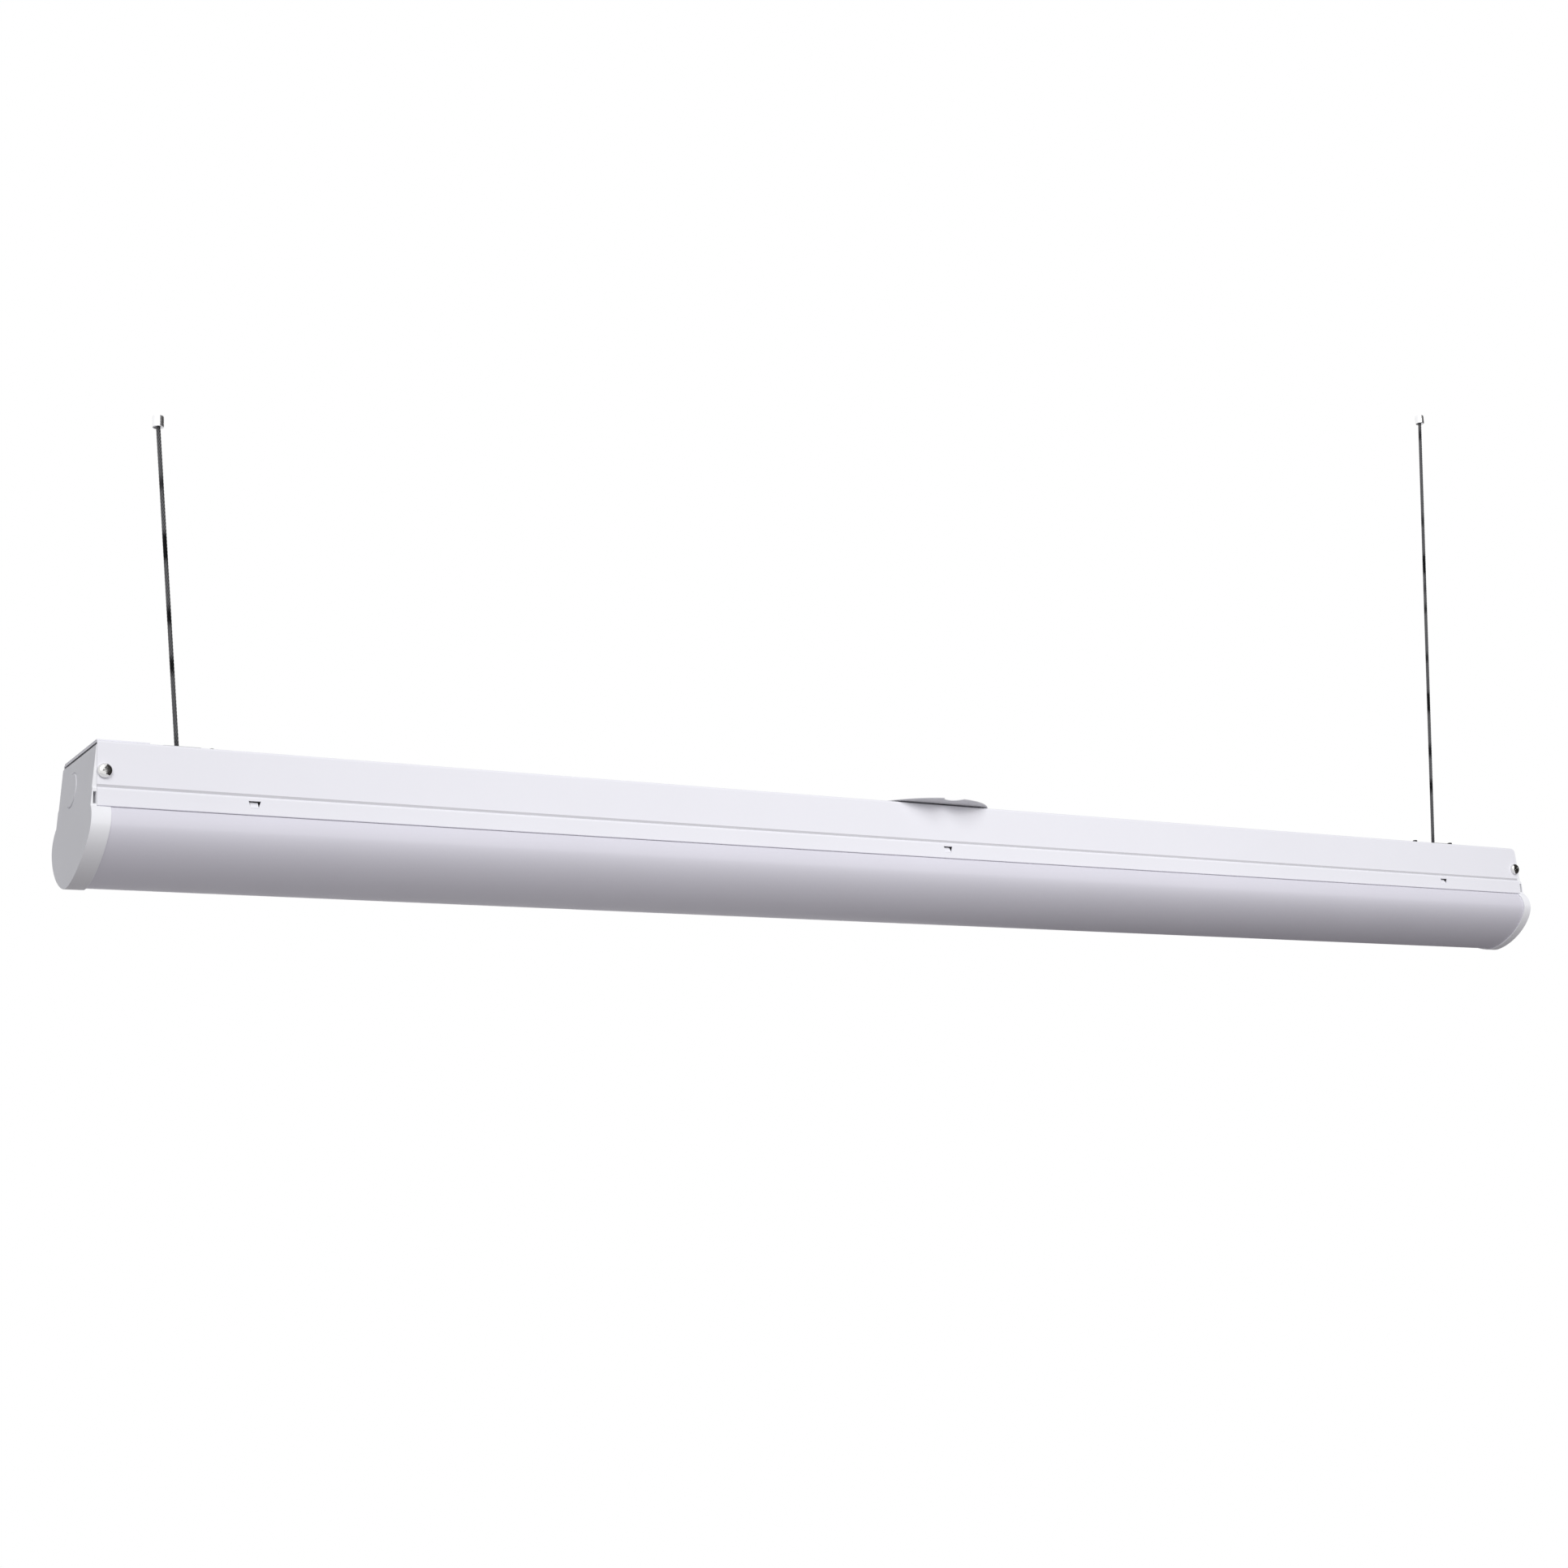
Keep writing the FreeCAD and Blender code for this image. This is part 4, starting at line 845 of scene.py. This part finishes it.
def recess(head, radius, height):
    """Cuts a cross recess into the top of a head that stands at the origin along Z."""
    for turn in (0, math.pi / 2):
        bpy.ops.object.select_all(action="DESELECT")
        bpy.ops.mesh.primitive_cube_add(size=1, location=(0, 0, height * MM))
        wedge = bpy.context.active_object
        wedge.scale = (
            radius * RECESS_LONG * MM,
            radius * RECESS_WIDE * MM,
            height * RECESS_HIGH * MM,
        )
        wedge.rotation_euler = (0, 0, turn)
        settle(wedge)
        edit(wedge, "FACE")
        pick(wedge, "faces", lambda face, middle: face.normal.z < -0.5)
        bpy.ops.transform.resize(
            value=(RECESS_TAPER, RECESS_TAPER, 1), center_override=(0, 0, 0)
        )
        done()
        cut(head, wedge)


def pan_head(radius, height, segments=40):
    """A domed head with a rounded shoulder and a cross recess, standing at the origin."""
    rings = [(radius * 0.93, 0), (radius, height * 0.1), (radius, height * 0.38)]
    for step in range(1, 6):
        angle = math.radians(18 * step)
        out = radius * (0.42 + 0.58 * math.cos(angle))
        rise = height * (0.38 + 0.62 * math.sin(angle))
        rings.append((out, rise))
    head = turned("head", Vector((0, 0, 0)), rings, segments)
    recess(head, radius, height)
    outward(head)
    return head


def set_screws(name, places, radius, height, material, slot, node):
    """Copies of one pan head at (place, axis, turn) in the light's own frame."""
    pattern = pan_head(radius, height)
    copies = []
    for place, axis, turn in places:
        copy = bpy.data.objects.new("screw", pattern.data.copy())
        bpy.context.scene.collection.objects.link(copy)
        tilt = Vector((0, 0, 1)).rotation_difference(Vector(axis)).to_matrix().to_4x4()
        spin = Matrix.Rotation(math.radians(turn), 4, "Z")
        copy.matrix_world = Matrix.Translation(at(*place)) @ tilt @ spin
        copies.append(copy)
    bpy.data.objects.remove(pattern)
    whole = join(name, copies)
    settle(whole)
    smooth(whole, 35)
    return dress(whole, name, material, "fixture", slot, node)


# %% [markdown]
# Four screws hold the caps, front and back at each end, and two smaller ones hold the round plate.
# Nobody lines screws up, so each recess has its own turn.

# %% Cap screws and plate screws
PLATE_TOP = 1.4
END_SCREW_X = CHANNEL_END - 4.6
END_SCREW_Z = -18.4
FAR_SHIFT = 1.5
END_SCREW = (4.4, 3.0)
PLATE_SCREW = (3.8, 1.8)

ends = []
for turn, (x, y) in zip((12, 38, 71, 55), ((-1, -1), (1, -1), (-1, 1), (1, 1))):
    place = (x * END_SCREW_X + (x > 0) * FAR_SHIFT, y * TOP_HALF, END_SCREW_Z)
    ends.append((place, (0, y, 0), turn))
tops = [((x, 0, PLATE_TOP), (0, 0, 1), turn) for x, turn in ((-24, 20), (24, 64))]
set_screws("end_cap_screw_heads", ends, *END_SCREW, CHROME, "chrome_screw", "end_cap_screws")
set_screws("cover_screw_heads", tops, *PLATE_SCREW, ZINC, "zinc", "junction_cover_screws")
print("screws:", len(ends) + len(tops))

# %% [markdown]
# ## The round junction plate
# A thin disc on top covers the ceiling box. It is wider than the channel, so a slice of it shows
# in front. It has two slots for the box's screws, a centre hole, and a round bite out of its rim
# in front and at the back. A rubber seal lies under it and shows as a dark line.

# %% Junction plate and its gasket
SEAL = 0.75
SEAL_RADIUS = 35.0
PLATE_RINGS = [(54.85, 0), (55.0, 0.1), (55.0, 0.4), (54.85, 0.5)]
BITE_X, BITE_Y, BITE_RADIUS = -1.5, 57.9, 9.4

plate = turned("plate", at(0, 0, SEAL), PLATE_RINGS, 160)
cutters = [rod("way", (0, 0, 1), WIRE_WAY, THROUGH, segments=64)]
for x in BOX_SLOTS:
    cutters.append(slot_block("box slot", (x, 0, 1), *BOX_SLOT, THROUGH))
for y in (-BITE_Y, BITE_Y):
    cutters.append(rod("bite", (BITE_X, y, 0), BITE_RADIUS, THROUGH, segments=64))
cut(plate, *cutters)
outward(plate)
smooth(plate)
dress(plate, "junction_plate", PLATE, "fixture", "plate_grey", "junction_cover")

gasket = turned("gasket", at(0, 0, 0), [(SEAL_RADIUS, 0.0), (SEAL_RADIUS, SEAL)], 96)
cut(gasket, rod("way", (0, 0, 0), WIRE_WAY, THROUGH, segments=64))
outward(gasket)
smooth(gasket)
dress(gasket, "junction_seal", RUBBER, "fixture", "gasket_black", "junction_gasket")
print("plate and gasket:", len(plate.data.polygons), len(gasket.data.polygons), "faces")

# %% [markdown]
# ## Hangers
# A small bent strap stands over the channel at each end, held by two studs with nuts. The
# cable's ball end drops through the wide end of its keyhole and slides under the narrow one.

# %% Hanger straps
HANG = 550.6
STUD = 21.5
BALL_Z = 3.0
STRAP_FOOT, STRAP_TOP = 0.75, 5.85
STRAP_GAUGE = 1.5
STRAP_BEND = 1.2
KEY_WIDE_Y, KEY_WIDE = 7.6, 3.1
KEY_NARROW_Y, KEY_NARROW = 2.2, (10.8, 2.0)
KEY_Z, KEY_THROUGH = 6, 8


def strap(name, centre, node):
    """A bent strap with a keyhole, made along the channel's middle and turned across it."""
    half = [(26.5, STRAP_FOOT), (16.4, STRAP_FOOT), (12.1, STRAP_TOP)]
    corners = [(-y, z) for y, z in half] + half[::-1]
    sheet = fold("strap", corners, -14.0, 10.5)
    edit(sheet)
    pick(sheet, "edges", lambda edge, middle: runs_along(edge, 0.01))
    bpy.ops.mesh.bevel(offset=STRAP_BEND * MM, segments=4, affect="EDGES")
    done()
    outward(sheet)
    modify(sheet, "SOLIDIFY", thickness=STRAP_GAUGE * MM, offset=0.0)
    turn_and_place(sheet, -math.pi / 2, (centre, 0, 0))
    wide = rod("entry", (centre, KEY_WIDE_Y, KEY_Z), KEY_WIDE, KEY_THROUGH)
    narrow = slot_block(
        "seat", (centre, KEY_NARROW_Y, KEY_Z), *KEY_NARROW, KEY_THROUGH, along=(0, 1, 0)
    )
    cut(sheet, wide, narrow)
    outward(sheet)
    soften(sheet, 0.2, 2, 50)
    smooth(sheet)
    dress(sheet, name, ZINC, "fixture", "zinc", node)
    print(name, len(sheet.data.polygons), "faces")


strap("hanger_strap_left", -HANG, "hanger_bridge_left")
strap("hanger_strap_right", HANG, "hanger_bridge_right")

# %% [markdown]
# The studs are blackened steel with a fine thread. A thread is a ring of small ridges: the turned
# profile goes in and out once for every half millimetre of height. From below, only the right
# studs show over the top edge, so the left ones are a millimetre shorter. The nuts are six-sided
# with turned-down corners.

# %% Studs and nuts
STUD_TOP = 9.8
STUD_RADIUS = 2.0
STUD_ROOT = 1.75
STUD_PITCH = 0.5
LEFT_SHORTER = 1.0
STUD_HEAD = [(4.4, -2.6), (4.6, -2.4), (4.6, -1.2), (4.6, -1.02)]
THREAD_FOOT = 4.6
NUT_ACROSS, NUT_HIGH = 7.0, 3.2
NUT_CROWN = [(3.55, 1.4), (4.1, 1.8), (4.1, 4.3), (3.5, 4.71)]


def thread_rings(low, high, crest, root, pitch):
    """Rings of a thread between two heights, with a turned-down tip."""
    rings = []
    height = low
    while height < high - pitch:
        rings += [(crest, height), (root, height + pitch / 2)]
        height += pitch
    return rings + [(crest * 0.98, high - 0.3), (crest * 0.75, high)]


studs = []
nuts = []
for x, offset in [(x, s) for x in (-HANG, HANG) for s in (-STUD, STUD)]:
    tip = STUD_TOP if x > 0 else STUD_TOP - LEFT_SHORTER
    rings = STUD_HEAD + [(STUD_RADIUS, -1.0), (STUD_RADIUS, 4.4)]
    rings += thread_rings(THREAD_FOOT, tip, STUD_RADIUS, STUD_ROOT, STUD_PITCH)
    foot = at(x + offset, 0, 0)
    studs.append(turned("stud", foot, rings, 28))
    bpy.ops.object.select_all(action="DESELECT")
    bpy.ops.mesh.primitive_cylinder_add(
        vertices=6,
        radius=NUT_ACROSS / math.sqrt(3) * MM,
        depth=NUT_HIGH * MM,
        location=at(x + offset, 0, 3.1),
    )
    nut = bpy.context.active_object
    settle(nut)
    combine(nut, turned("crown", foot, NUT_CROWN, 48), "INTERSECT")
    cut(nut, rod("hole", (x + offset, 0, 3), STUD_RADIUS + 0.05, 8))
    outward(nut)
    nuts.append(nut)
print("studs and nuts:", len(studs), len(nuts))
stud_set = join("studs", studs)
smooth(stud_set, 40)
dress(stud_set, "hanger_stud_set", STUD_STEEL, "fixture", "zinc", "hanger_studs")
nut_set = join("nuts", nuts)
smooth(nut_set, 30)
dress(nut_set, "hanger_nut_set", ZINC, "fixture", "zinc", "hanger_nuts")

# %% [markdown]
# ## The joiner plate
# A thin painted plate lies on the channel's left end, for joining a second light on.

# %% Joiner plate
low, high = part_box("joiner_plate")
low, high = (low - LIGHT) / MM, (high - LIGHT) / MM
joiner = block("joiner", low, high)
soften(joiner, 0.35, 3)
smooth(joiner)
dress(joiner, "joiner_cover", PAINT, "fixture", "white_steel", "joiner_plate")
print("joiner plate, mm:", [round(side, 2) for side in high - low])

# %% [markdown]
# ## The cables
# Each cable is twisted from fine steel wires. Six strands wind round a core, so the outside shows
# slanting ridges. The strands follow the cable's own straight line, and each end is swaged into
# a ball.

# %% Cables
CABLE_RADIUS = 1.4
STRAND_RADIUS = 0.50
CORE_RADIUS = 0.55
LAY = 14.0
LAY_STEPS = 14
CUP_TOP = 4.4


def strand_points(foot, top, radius, phase, lay):
    """Points of one strand: it winds round the cable's line once every lay."""
    along = top - foot
    length = along.length
    along.normalize()
    across = along.cross(Vector((0, 1, 0))).normalized()
    other = along.cross(across)
    steps = int(length / (lay * MM) * LAY_STEPS)
    points = []
    for step in range(steps + 1):
        share = step / steps
        angle = phase + 2 * math.pi * share * length / (lay * MM)
        offset = across * math.cos(angle) + other * math.sin(angle)
        points.append(foot + along * length * share + offset * radius * MM)
    return points


def wire(name, points, radius, sides=3):
    """A round wire through the points, as a mesh."""
    curve = bpy.data.curves.new(name, "CURVE")
    curve.dimensions = "3D"
    curve.bevel_depth = radius * MM
    curve.bevel_resolution = sides
    curve.use_fill_caps = True
    spline = curve.splines.new("POLY")
    spline.points.add(len(points) - 1)
    for point, place in zip(spline.points, points):
        point.co = (*place, 1)
    piece = bpy.data.objects.new(name, curve)
    bpy.context.scene.collection.objects.link(piece)
    only(piece)
    bpy.ops.object.convert(target="MESH")
    return bpy.context.view_layer.objects.active


def cable(side, node, cup_node):
    """The twisted cable between the middles of its two ball ends."""
    low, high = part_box(cup_node)
    top = Vector(((low.x + high.x) / 2, 0, high.z - CUP_TOP * MM))
    foot = at(-HANG if side == "left" else HANG, 0, BALL_Z)
    strands = [wire("core", [foot, top], CORE_RADIUS)]
    for number in range(6):
        phase = number * math.pi / 3
        points = strand_points(foot, top, CABLE_RADIUS - STRAND_RADIUS, phase, LAY)
        strands.append(wire("strand", points, STRAND_RADIUS))
    whole = join("cable", strands)
    smooth(whole, 60)
    dress(whole, "cable_%s_strands" % side, CABLE, "suspension", "cable_steel", node)
    return whole, foot, top


cables = {}
for side in ("left", "right"):
    cables[side] = cable(side, "cable_" + side, "ceiling_cup_" + side)
    print("cable", side, "mm:", round((cables[side][2] - cables[side][1]).length / MM, 1))

# %% [markdown]
# Each ball end is a steel ball swaged on the wire. The ceiling cup holds the
# upper ball: it is a small turned steel cup with a flared mouth, so the cable can swing.

# %% Ball ends and ceiling cups
BALL_RADIUS = 2.6
CUP_RINGS = [(3.45, -3.0), (3.7, -2.75), (3.7, 3.6), (3.5, 4.2), (2.9, CUP_TOP)]
ROOM_RINGS = [(2.0, -2.1), (2.6, -1.3), (2.9, 0.0), (2.6, 1.3), (1.6, 2.4), (0.4, 2.87)]
MOUTH_RINGS = [(3.5, -3.6), (2.4, -1.6)]

ball_rings = []
for step in range(-11, 10):
    angle = math.radians(90 * step / 11.5)
    ball_rings.append((BALL_RADIUS * math.cos(angle), BALL_RADIUS * math.sin(angle)))

for side, (whole, foot, top) in cables.items():
    along = (top - foot).normalized()
    for place, direction, end in ((foot, along, "lower"), (top, -along, "upper")):
        ball = turned("ball", place, ball_rings, 32, direction)
        smooth(ball, 60)
        name = "%s_ball_%s" % (end, side)
        dress(ball, name, ZINC, "suspension", "cable_steel", "%s_ball_end_%s" % (end, side))
    cup = turned("cup", top, CUP_RINGS, 48)
    room = turned("room", top, ROOM_RINGS, 32)
    mouth = turned("mouth", top, MOUTH_RINGS, 32)
    cut(cup, room, mouth)
    outward(cup)
    smooth(cup, 40)
    dress(cup, "ceiling_cup_%s_turned" % side, CUP, "ceiling", "zinc", "ceiling_cup_" + side)
    print("cup", side, len(cup.data.polygons), "faces")

# %% [markdown]
# ## What is inside
# The tray, the lamp boards, the driver and the wiring are hidden behind the lens, and their
# solids are already true. They only need their finishes.

# %% Finishes of the inside
INSIDE = {
    "tray_white": finish(
        "gloss white paint", (0.88, 0.88, 0.88), 0.35,
        grain=0.2, grain_size=0.8, cloud=0.02, uneven=0.06,
    ),
    "board_white": finish("white solder mask", (0.87, 0.87, 0.85), 0.3, cloud=0.03, uneven=0.05),
    "chip_yellow": finish("yellow phosphor", (0.90, 0.74, 0.20), 0.25, cloud=0.05, uneven=0.04),
    "driver_metal": finish(
        "plain aluminium", (0.72, 0.72, 0.74), 0.38,
        metal=1.0, grain=0.2, grain_size=0.6, cloud=0.06, uneven=0.08,
    ),
    "circuit_green": finish("green laminate", (0.03, 0.22, 0.08), 0.35, cloud=0.1, uneven=0.05),
    "core_dark": finish(
        "varnished core", (0.10, 0.09, 0.08), 0.4,
        grain=0.3, grain_size=0.8, cloud=0.2, uneven=0.1,
    ),
    "can_black": finish("black sleeve", (0.03, 0.03, 0.05), 0.28, cloud=0.1, uneven=0.05),
    "terminal_cream": finish(
        "cream moulding", (0.80, 0.77, 0.66), 0.45,
        grain=0.2, grain_size=0.4, cloud=0.03, uneven=0.06,
    ),
    "lead_black": finish("black insulation", (0.025, 0.025, 0.027), 0.4, cloud=0.1, uneven=0.06),
    "lead_white": finish("white insulation", (0.85, 0.85, 0.83), 0.4, cloud=0.04, uneven=0.06),
    "lead_green": finish("green insulation", (0.03, 0.32, 0.08), 0.4, cloud=0.08, uneven=0.06),
    "lead_red": finish("red insulation", (0.55, 0.03, 0.03), 0.4, cloud=0.08, uneven=0.06),
    "zinc": ZINC,
}
slots = {entry["node"]: entry["material_slot"] for entry in frame["record"]["subparts"]}
finished = 0
for node, piece in frame["nodes"].items():
    if slots[node] in INSIDE:
        for holder in piece.material_slots:
            holder.material = INSIDE[slots[node]]
        finished += 1
print("solids with an inside finish:", finished)

# %% [markdown]
# ## Light, floor and backdrop
# A soft sun and a softbox stand high in front and a little to the left, so the wall is bright, the
# end face is dimmer and the lens darkens towards its underside. A second softbox lights the back,
# and the world fills the rest. To the camera, and in reflections, the world and the floor are
# plain white.

# %% World
FILL = 0.30


def seen_rays(nodes, links):
    """One for what the camera, a reflection or clear plastic sees, and none for light."""
    rays = nodes.new("ShaderNodeLightPath")
    glossy = nodes.new("ShaderNodeMath")
    glossy.operation = "MAXIMUM"
    links.new(rays.outputs["Is Camera Ray"], glossy.inputs[0])
    links.new(rays.outputs["Is Glossy Ray"], glossy.inputs[1])
    clear = nodes.new("ShaderNodeMath")
    clear.operation = "MAXIMUM"
    links.new(glossy.outputs[0], clear.inputs[0])
    links.new(rays.outputs["Is Transmission Ray"], clear.inputs[1])
    return clear.outputs[0]


def two_looks(nodes, links, giving, seen, output):
    """Mixes a shader that gives light with one that is seen, and sends it to the output."""
    mix = nodes.new("ShaderNodeMixShader")
    links.new(seen_rays(nodes, links), mix.inputs[0])
    links.new(giving.outputs[0], mix.inputs[1])
    links.new(seen.outputs[0], mix.inputs[2])
    links.new(mix.outputs[0], nodes.new(output).inputs["Surface"])


bpy.context.scene.view_settings.view_transform = "Standard"
world = bpy.data.worlds.new("studio")
bpy.context.scene.world = world
world.use_nodes = True
nodes, links = world.node_tree.nodes, world.node_tree.links
nodes.clear()
fill = nodes.new("ShaderNodeBackground")
fill.inputs["Color"].default_value = (0.93, 0.94, 1.0, 1)
fill.inputs["Strength"].default_value = FILL
white = nodes.new("ShaderNodeBackground")
white.inputs["Color"].default_value = (1, 1, 1, 1)
white.inputs["Strength"].default_value = 1.0
two_looks(nodes, links, fill, white, "ShaderNodeOutputWorld")
print("world fill:", FILL)

# %% [markdown]
# The sun has a wide angle, so it is soft. The softboxes are hidden from the camera and from
# reflections, because a screw's bright plating would mirror them as white patches.

# %% Sun and softboxes
TO_SUN = Vector((-0.15, -0.38, 0.24))
SUN_ANGLE = 45
SOFTBOX_SIZE = 0.7


def lamp(name, kind, direction):
    """A lamp that stands in a direction from the light and is aimed back at it."""
    made = bpy.data.objects.new(name, bpy.data.lights.new(name, kind))
    bpy.context.scene.collection.objects.link(made)
    made.rotation_mode = "QUATERNION"
    made.rotation_quaternion = Vector((0, 0, 1)).rotation_difference(direction)
    return made


def softbox(name, place, level):
    """A square soft lamp aimed at the light; the level is what it adds to a white wall."""
    made = lamp(name, "AREA", place)
    made.location = LIGHT + place
    made.data.shape = "SQUARE"
    made.data.size = SOFTBOX_SIZE
    made.data.energy = level * math.pi**2 * place.length_squared
    made.visible_glossy = False
    made.visible_camera = False
    print(name, round(made.data.energy, 2), "W")


sun = lamp("soft_sun", "SUN", TO_SUN.normalized())
sun.data.energy = math.pi * TO_SUN.length
sun.data.angle = math.radians(SUN_ANGLE)
softbox("front_softbox", Vector((0.05, -1.5, 0.42)), 0.37)
softbox("back_softbox", Vector((0.35, 1.5, 0.45)), 0.45)

# %% [markdown]
# The floor lies well below, so a low view still sees the light. It gives back only a dim, faintly
# warm light, but looks pale itself.

# %% Floor
FLOOR_DROP = 2.2
FLOOR_RADIUS = 5.7
FLOOR_GLOW = 0.3

bpy.ops.object.select_all(action="DESELECT")
bpy.ops.mesh.primitive_circle_add(
    vertices=128, radius=FLOOR_RADIUS, location=at(0, 0, -FLOOR_DROP / MM), fill_type="NGON"
)
floor = bpy.context.active_object
floor.name = "floor"
floor_paint = bpy.data.materials.new("pale floor")
floor_paint.use_nodes = True
nodes, links = floor_paint.node_tree.nodes, floor_paint.node_tree.links
nodes.clear()
dim = nodes.new("ShaderNodeBsdfDiffuse")
dim.inputs["Color"].default_value = (0.52, 0.50, 0.50, 1)
pale = nodes.new("ShaderNodeBsdfDiffuse")
pale.inputs["Color"].default_value = (0.92, 0.92, 0.92, 1)
glow = nodes.new("ShaderNodeEmission")
glow.inputs["Color"].default_value = (1, 1, 1, 1)
glow.inputs["Strength"].default_value = FLOOR_GLOW
lit = nodes.new("ShaderNodeAddShader")
links.new(pale.outputs[0], lit.inputs[0])
links.new(glow.outputs[0], lit.inputs[1])
two_looks(nodes, links, dim, lit, "ShaderNodeOutputMaterial")
floor.data.materials.append(floor_paint)
floor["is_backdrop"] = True

# %% [markdown]
# A dark card stands to the right, out of the picture, as in a photographer's studio, and reaches
# round in front of the light. Only reflections see it, and it gives the bright screws their dark
# side.

# %% The dark card
card = block("dark_card", (1200, -6800, -1500), (1240, 1400, 4200))
card_paint = bpy.data.materials.new("dark card")
card_paint.use_nodes = True
shader = card_paint.node_tree.nodes["Principled BSDF"]
shader.inputs["Base Color"].default_value = (0.02, 0.017, 0.015, 1)
shader.inputs["Roughness"].default_value = 0.9
card.data.materials.append(card_paint)
card.visible_camera = False
card.visible_diffuse = False
card.visible_shadow = False
card.visible_transmission = False
card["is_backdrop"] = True

# %% [markdown]
# ## The dressed light's size
# The dressed light's bounds are printed. The dressed light has to stay inside the
# imported solids' box.

# %% Sizes
low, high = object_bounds()
print("visual", [round(v, 4) for v in (*low, *high)])
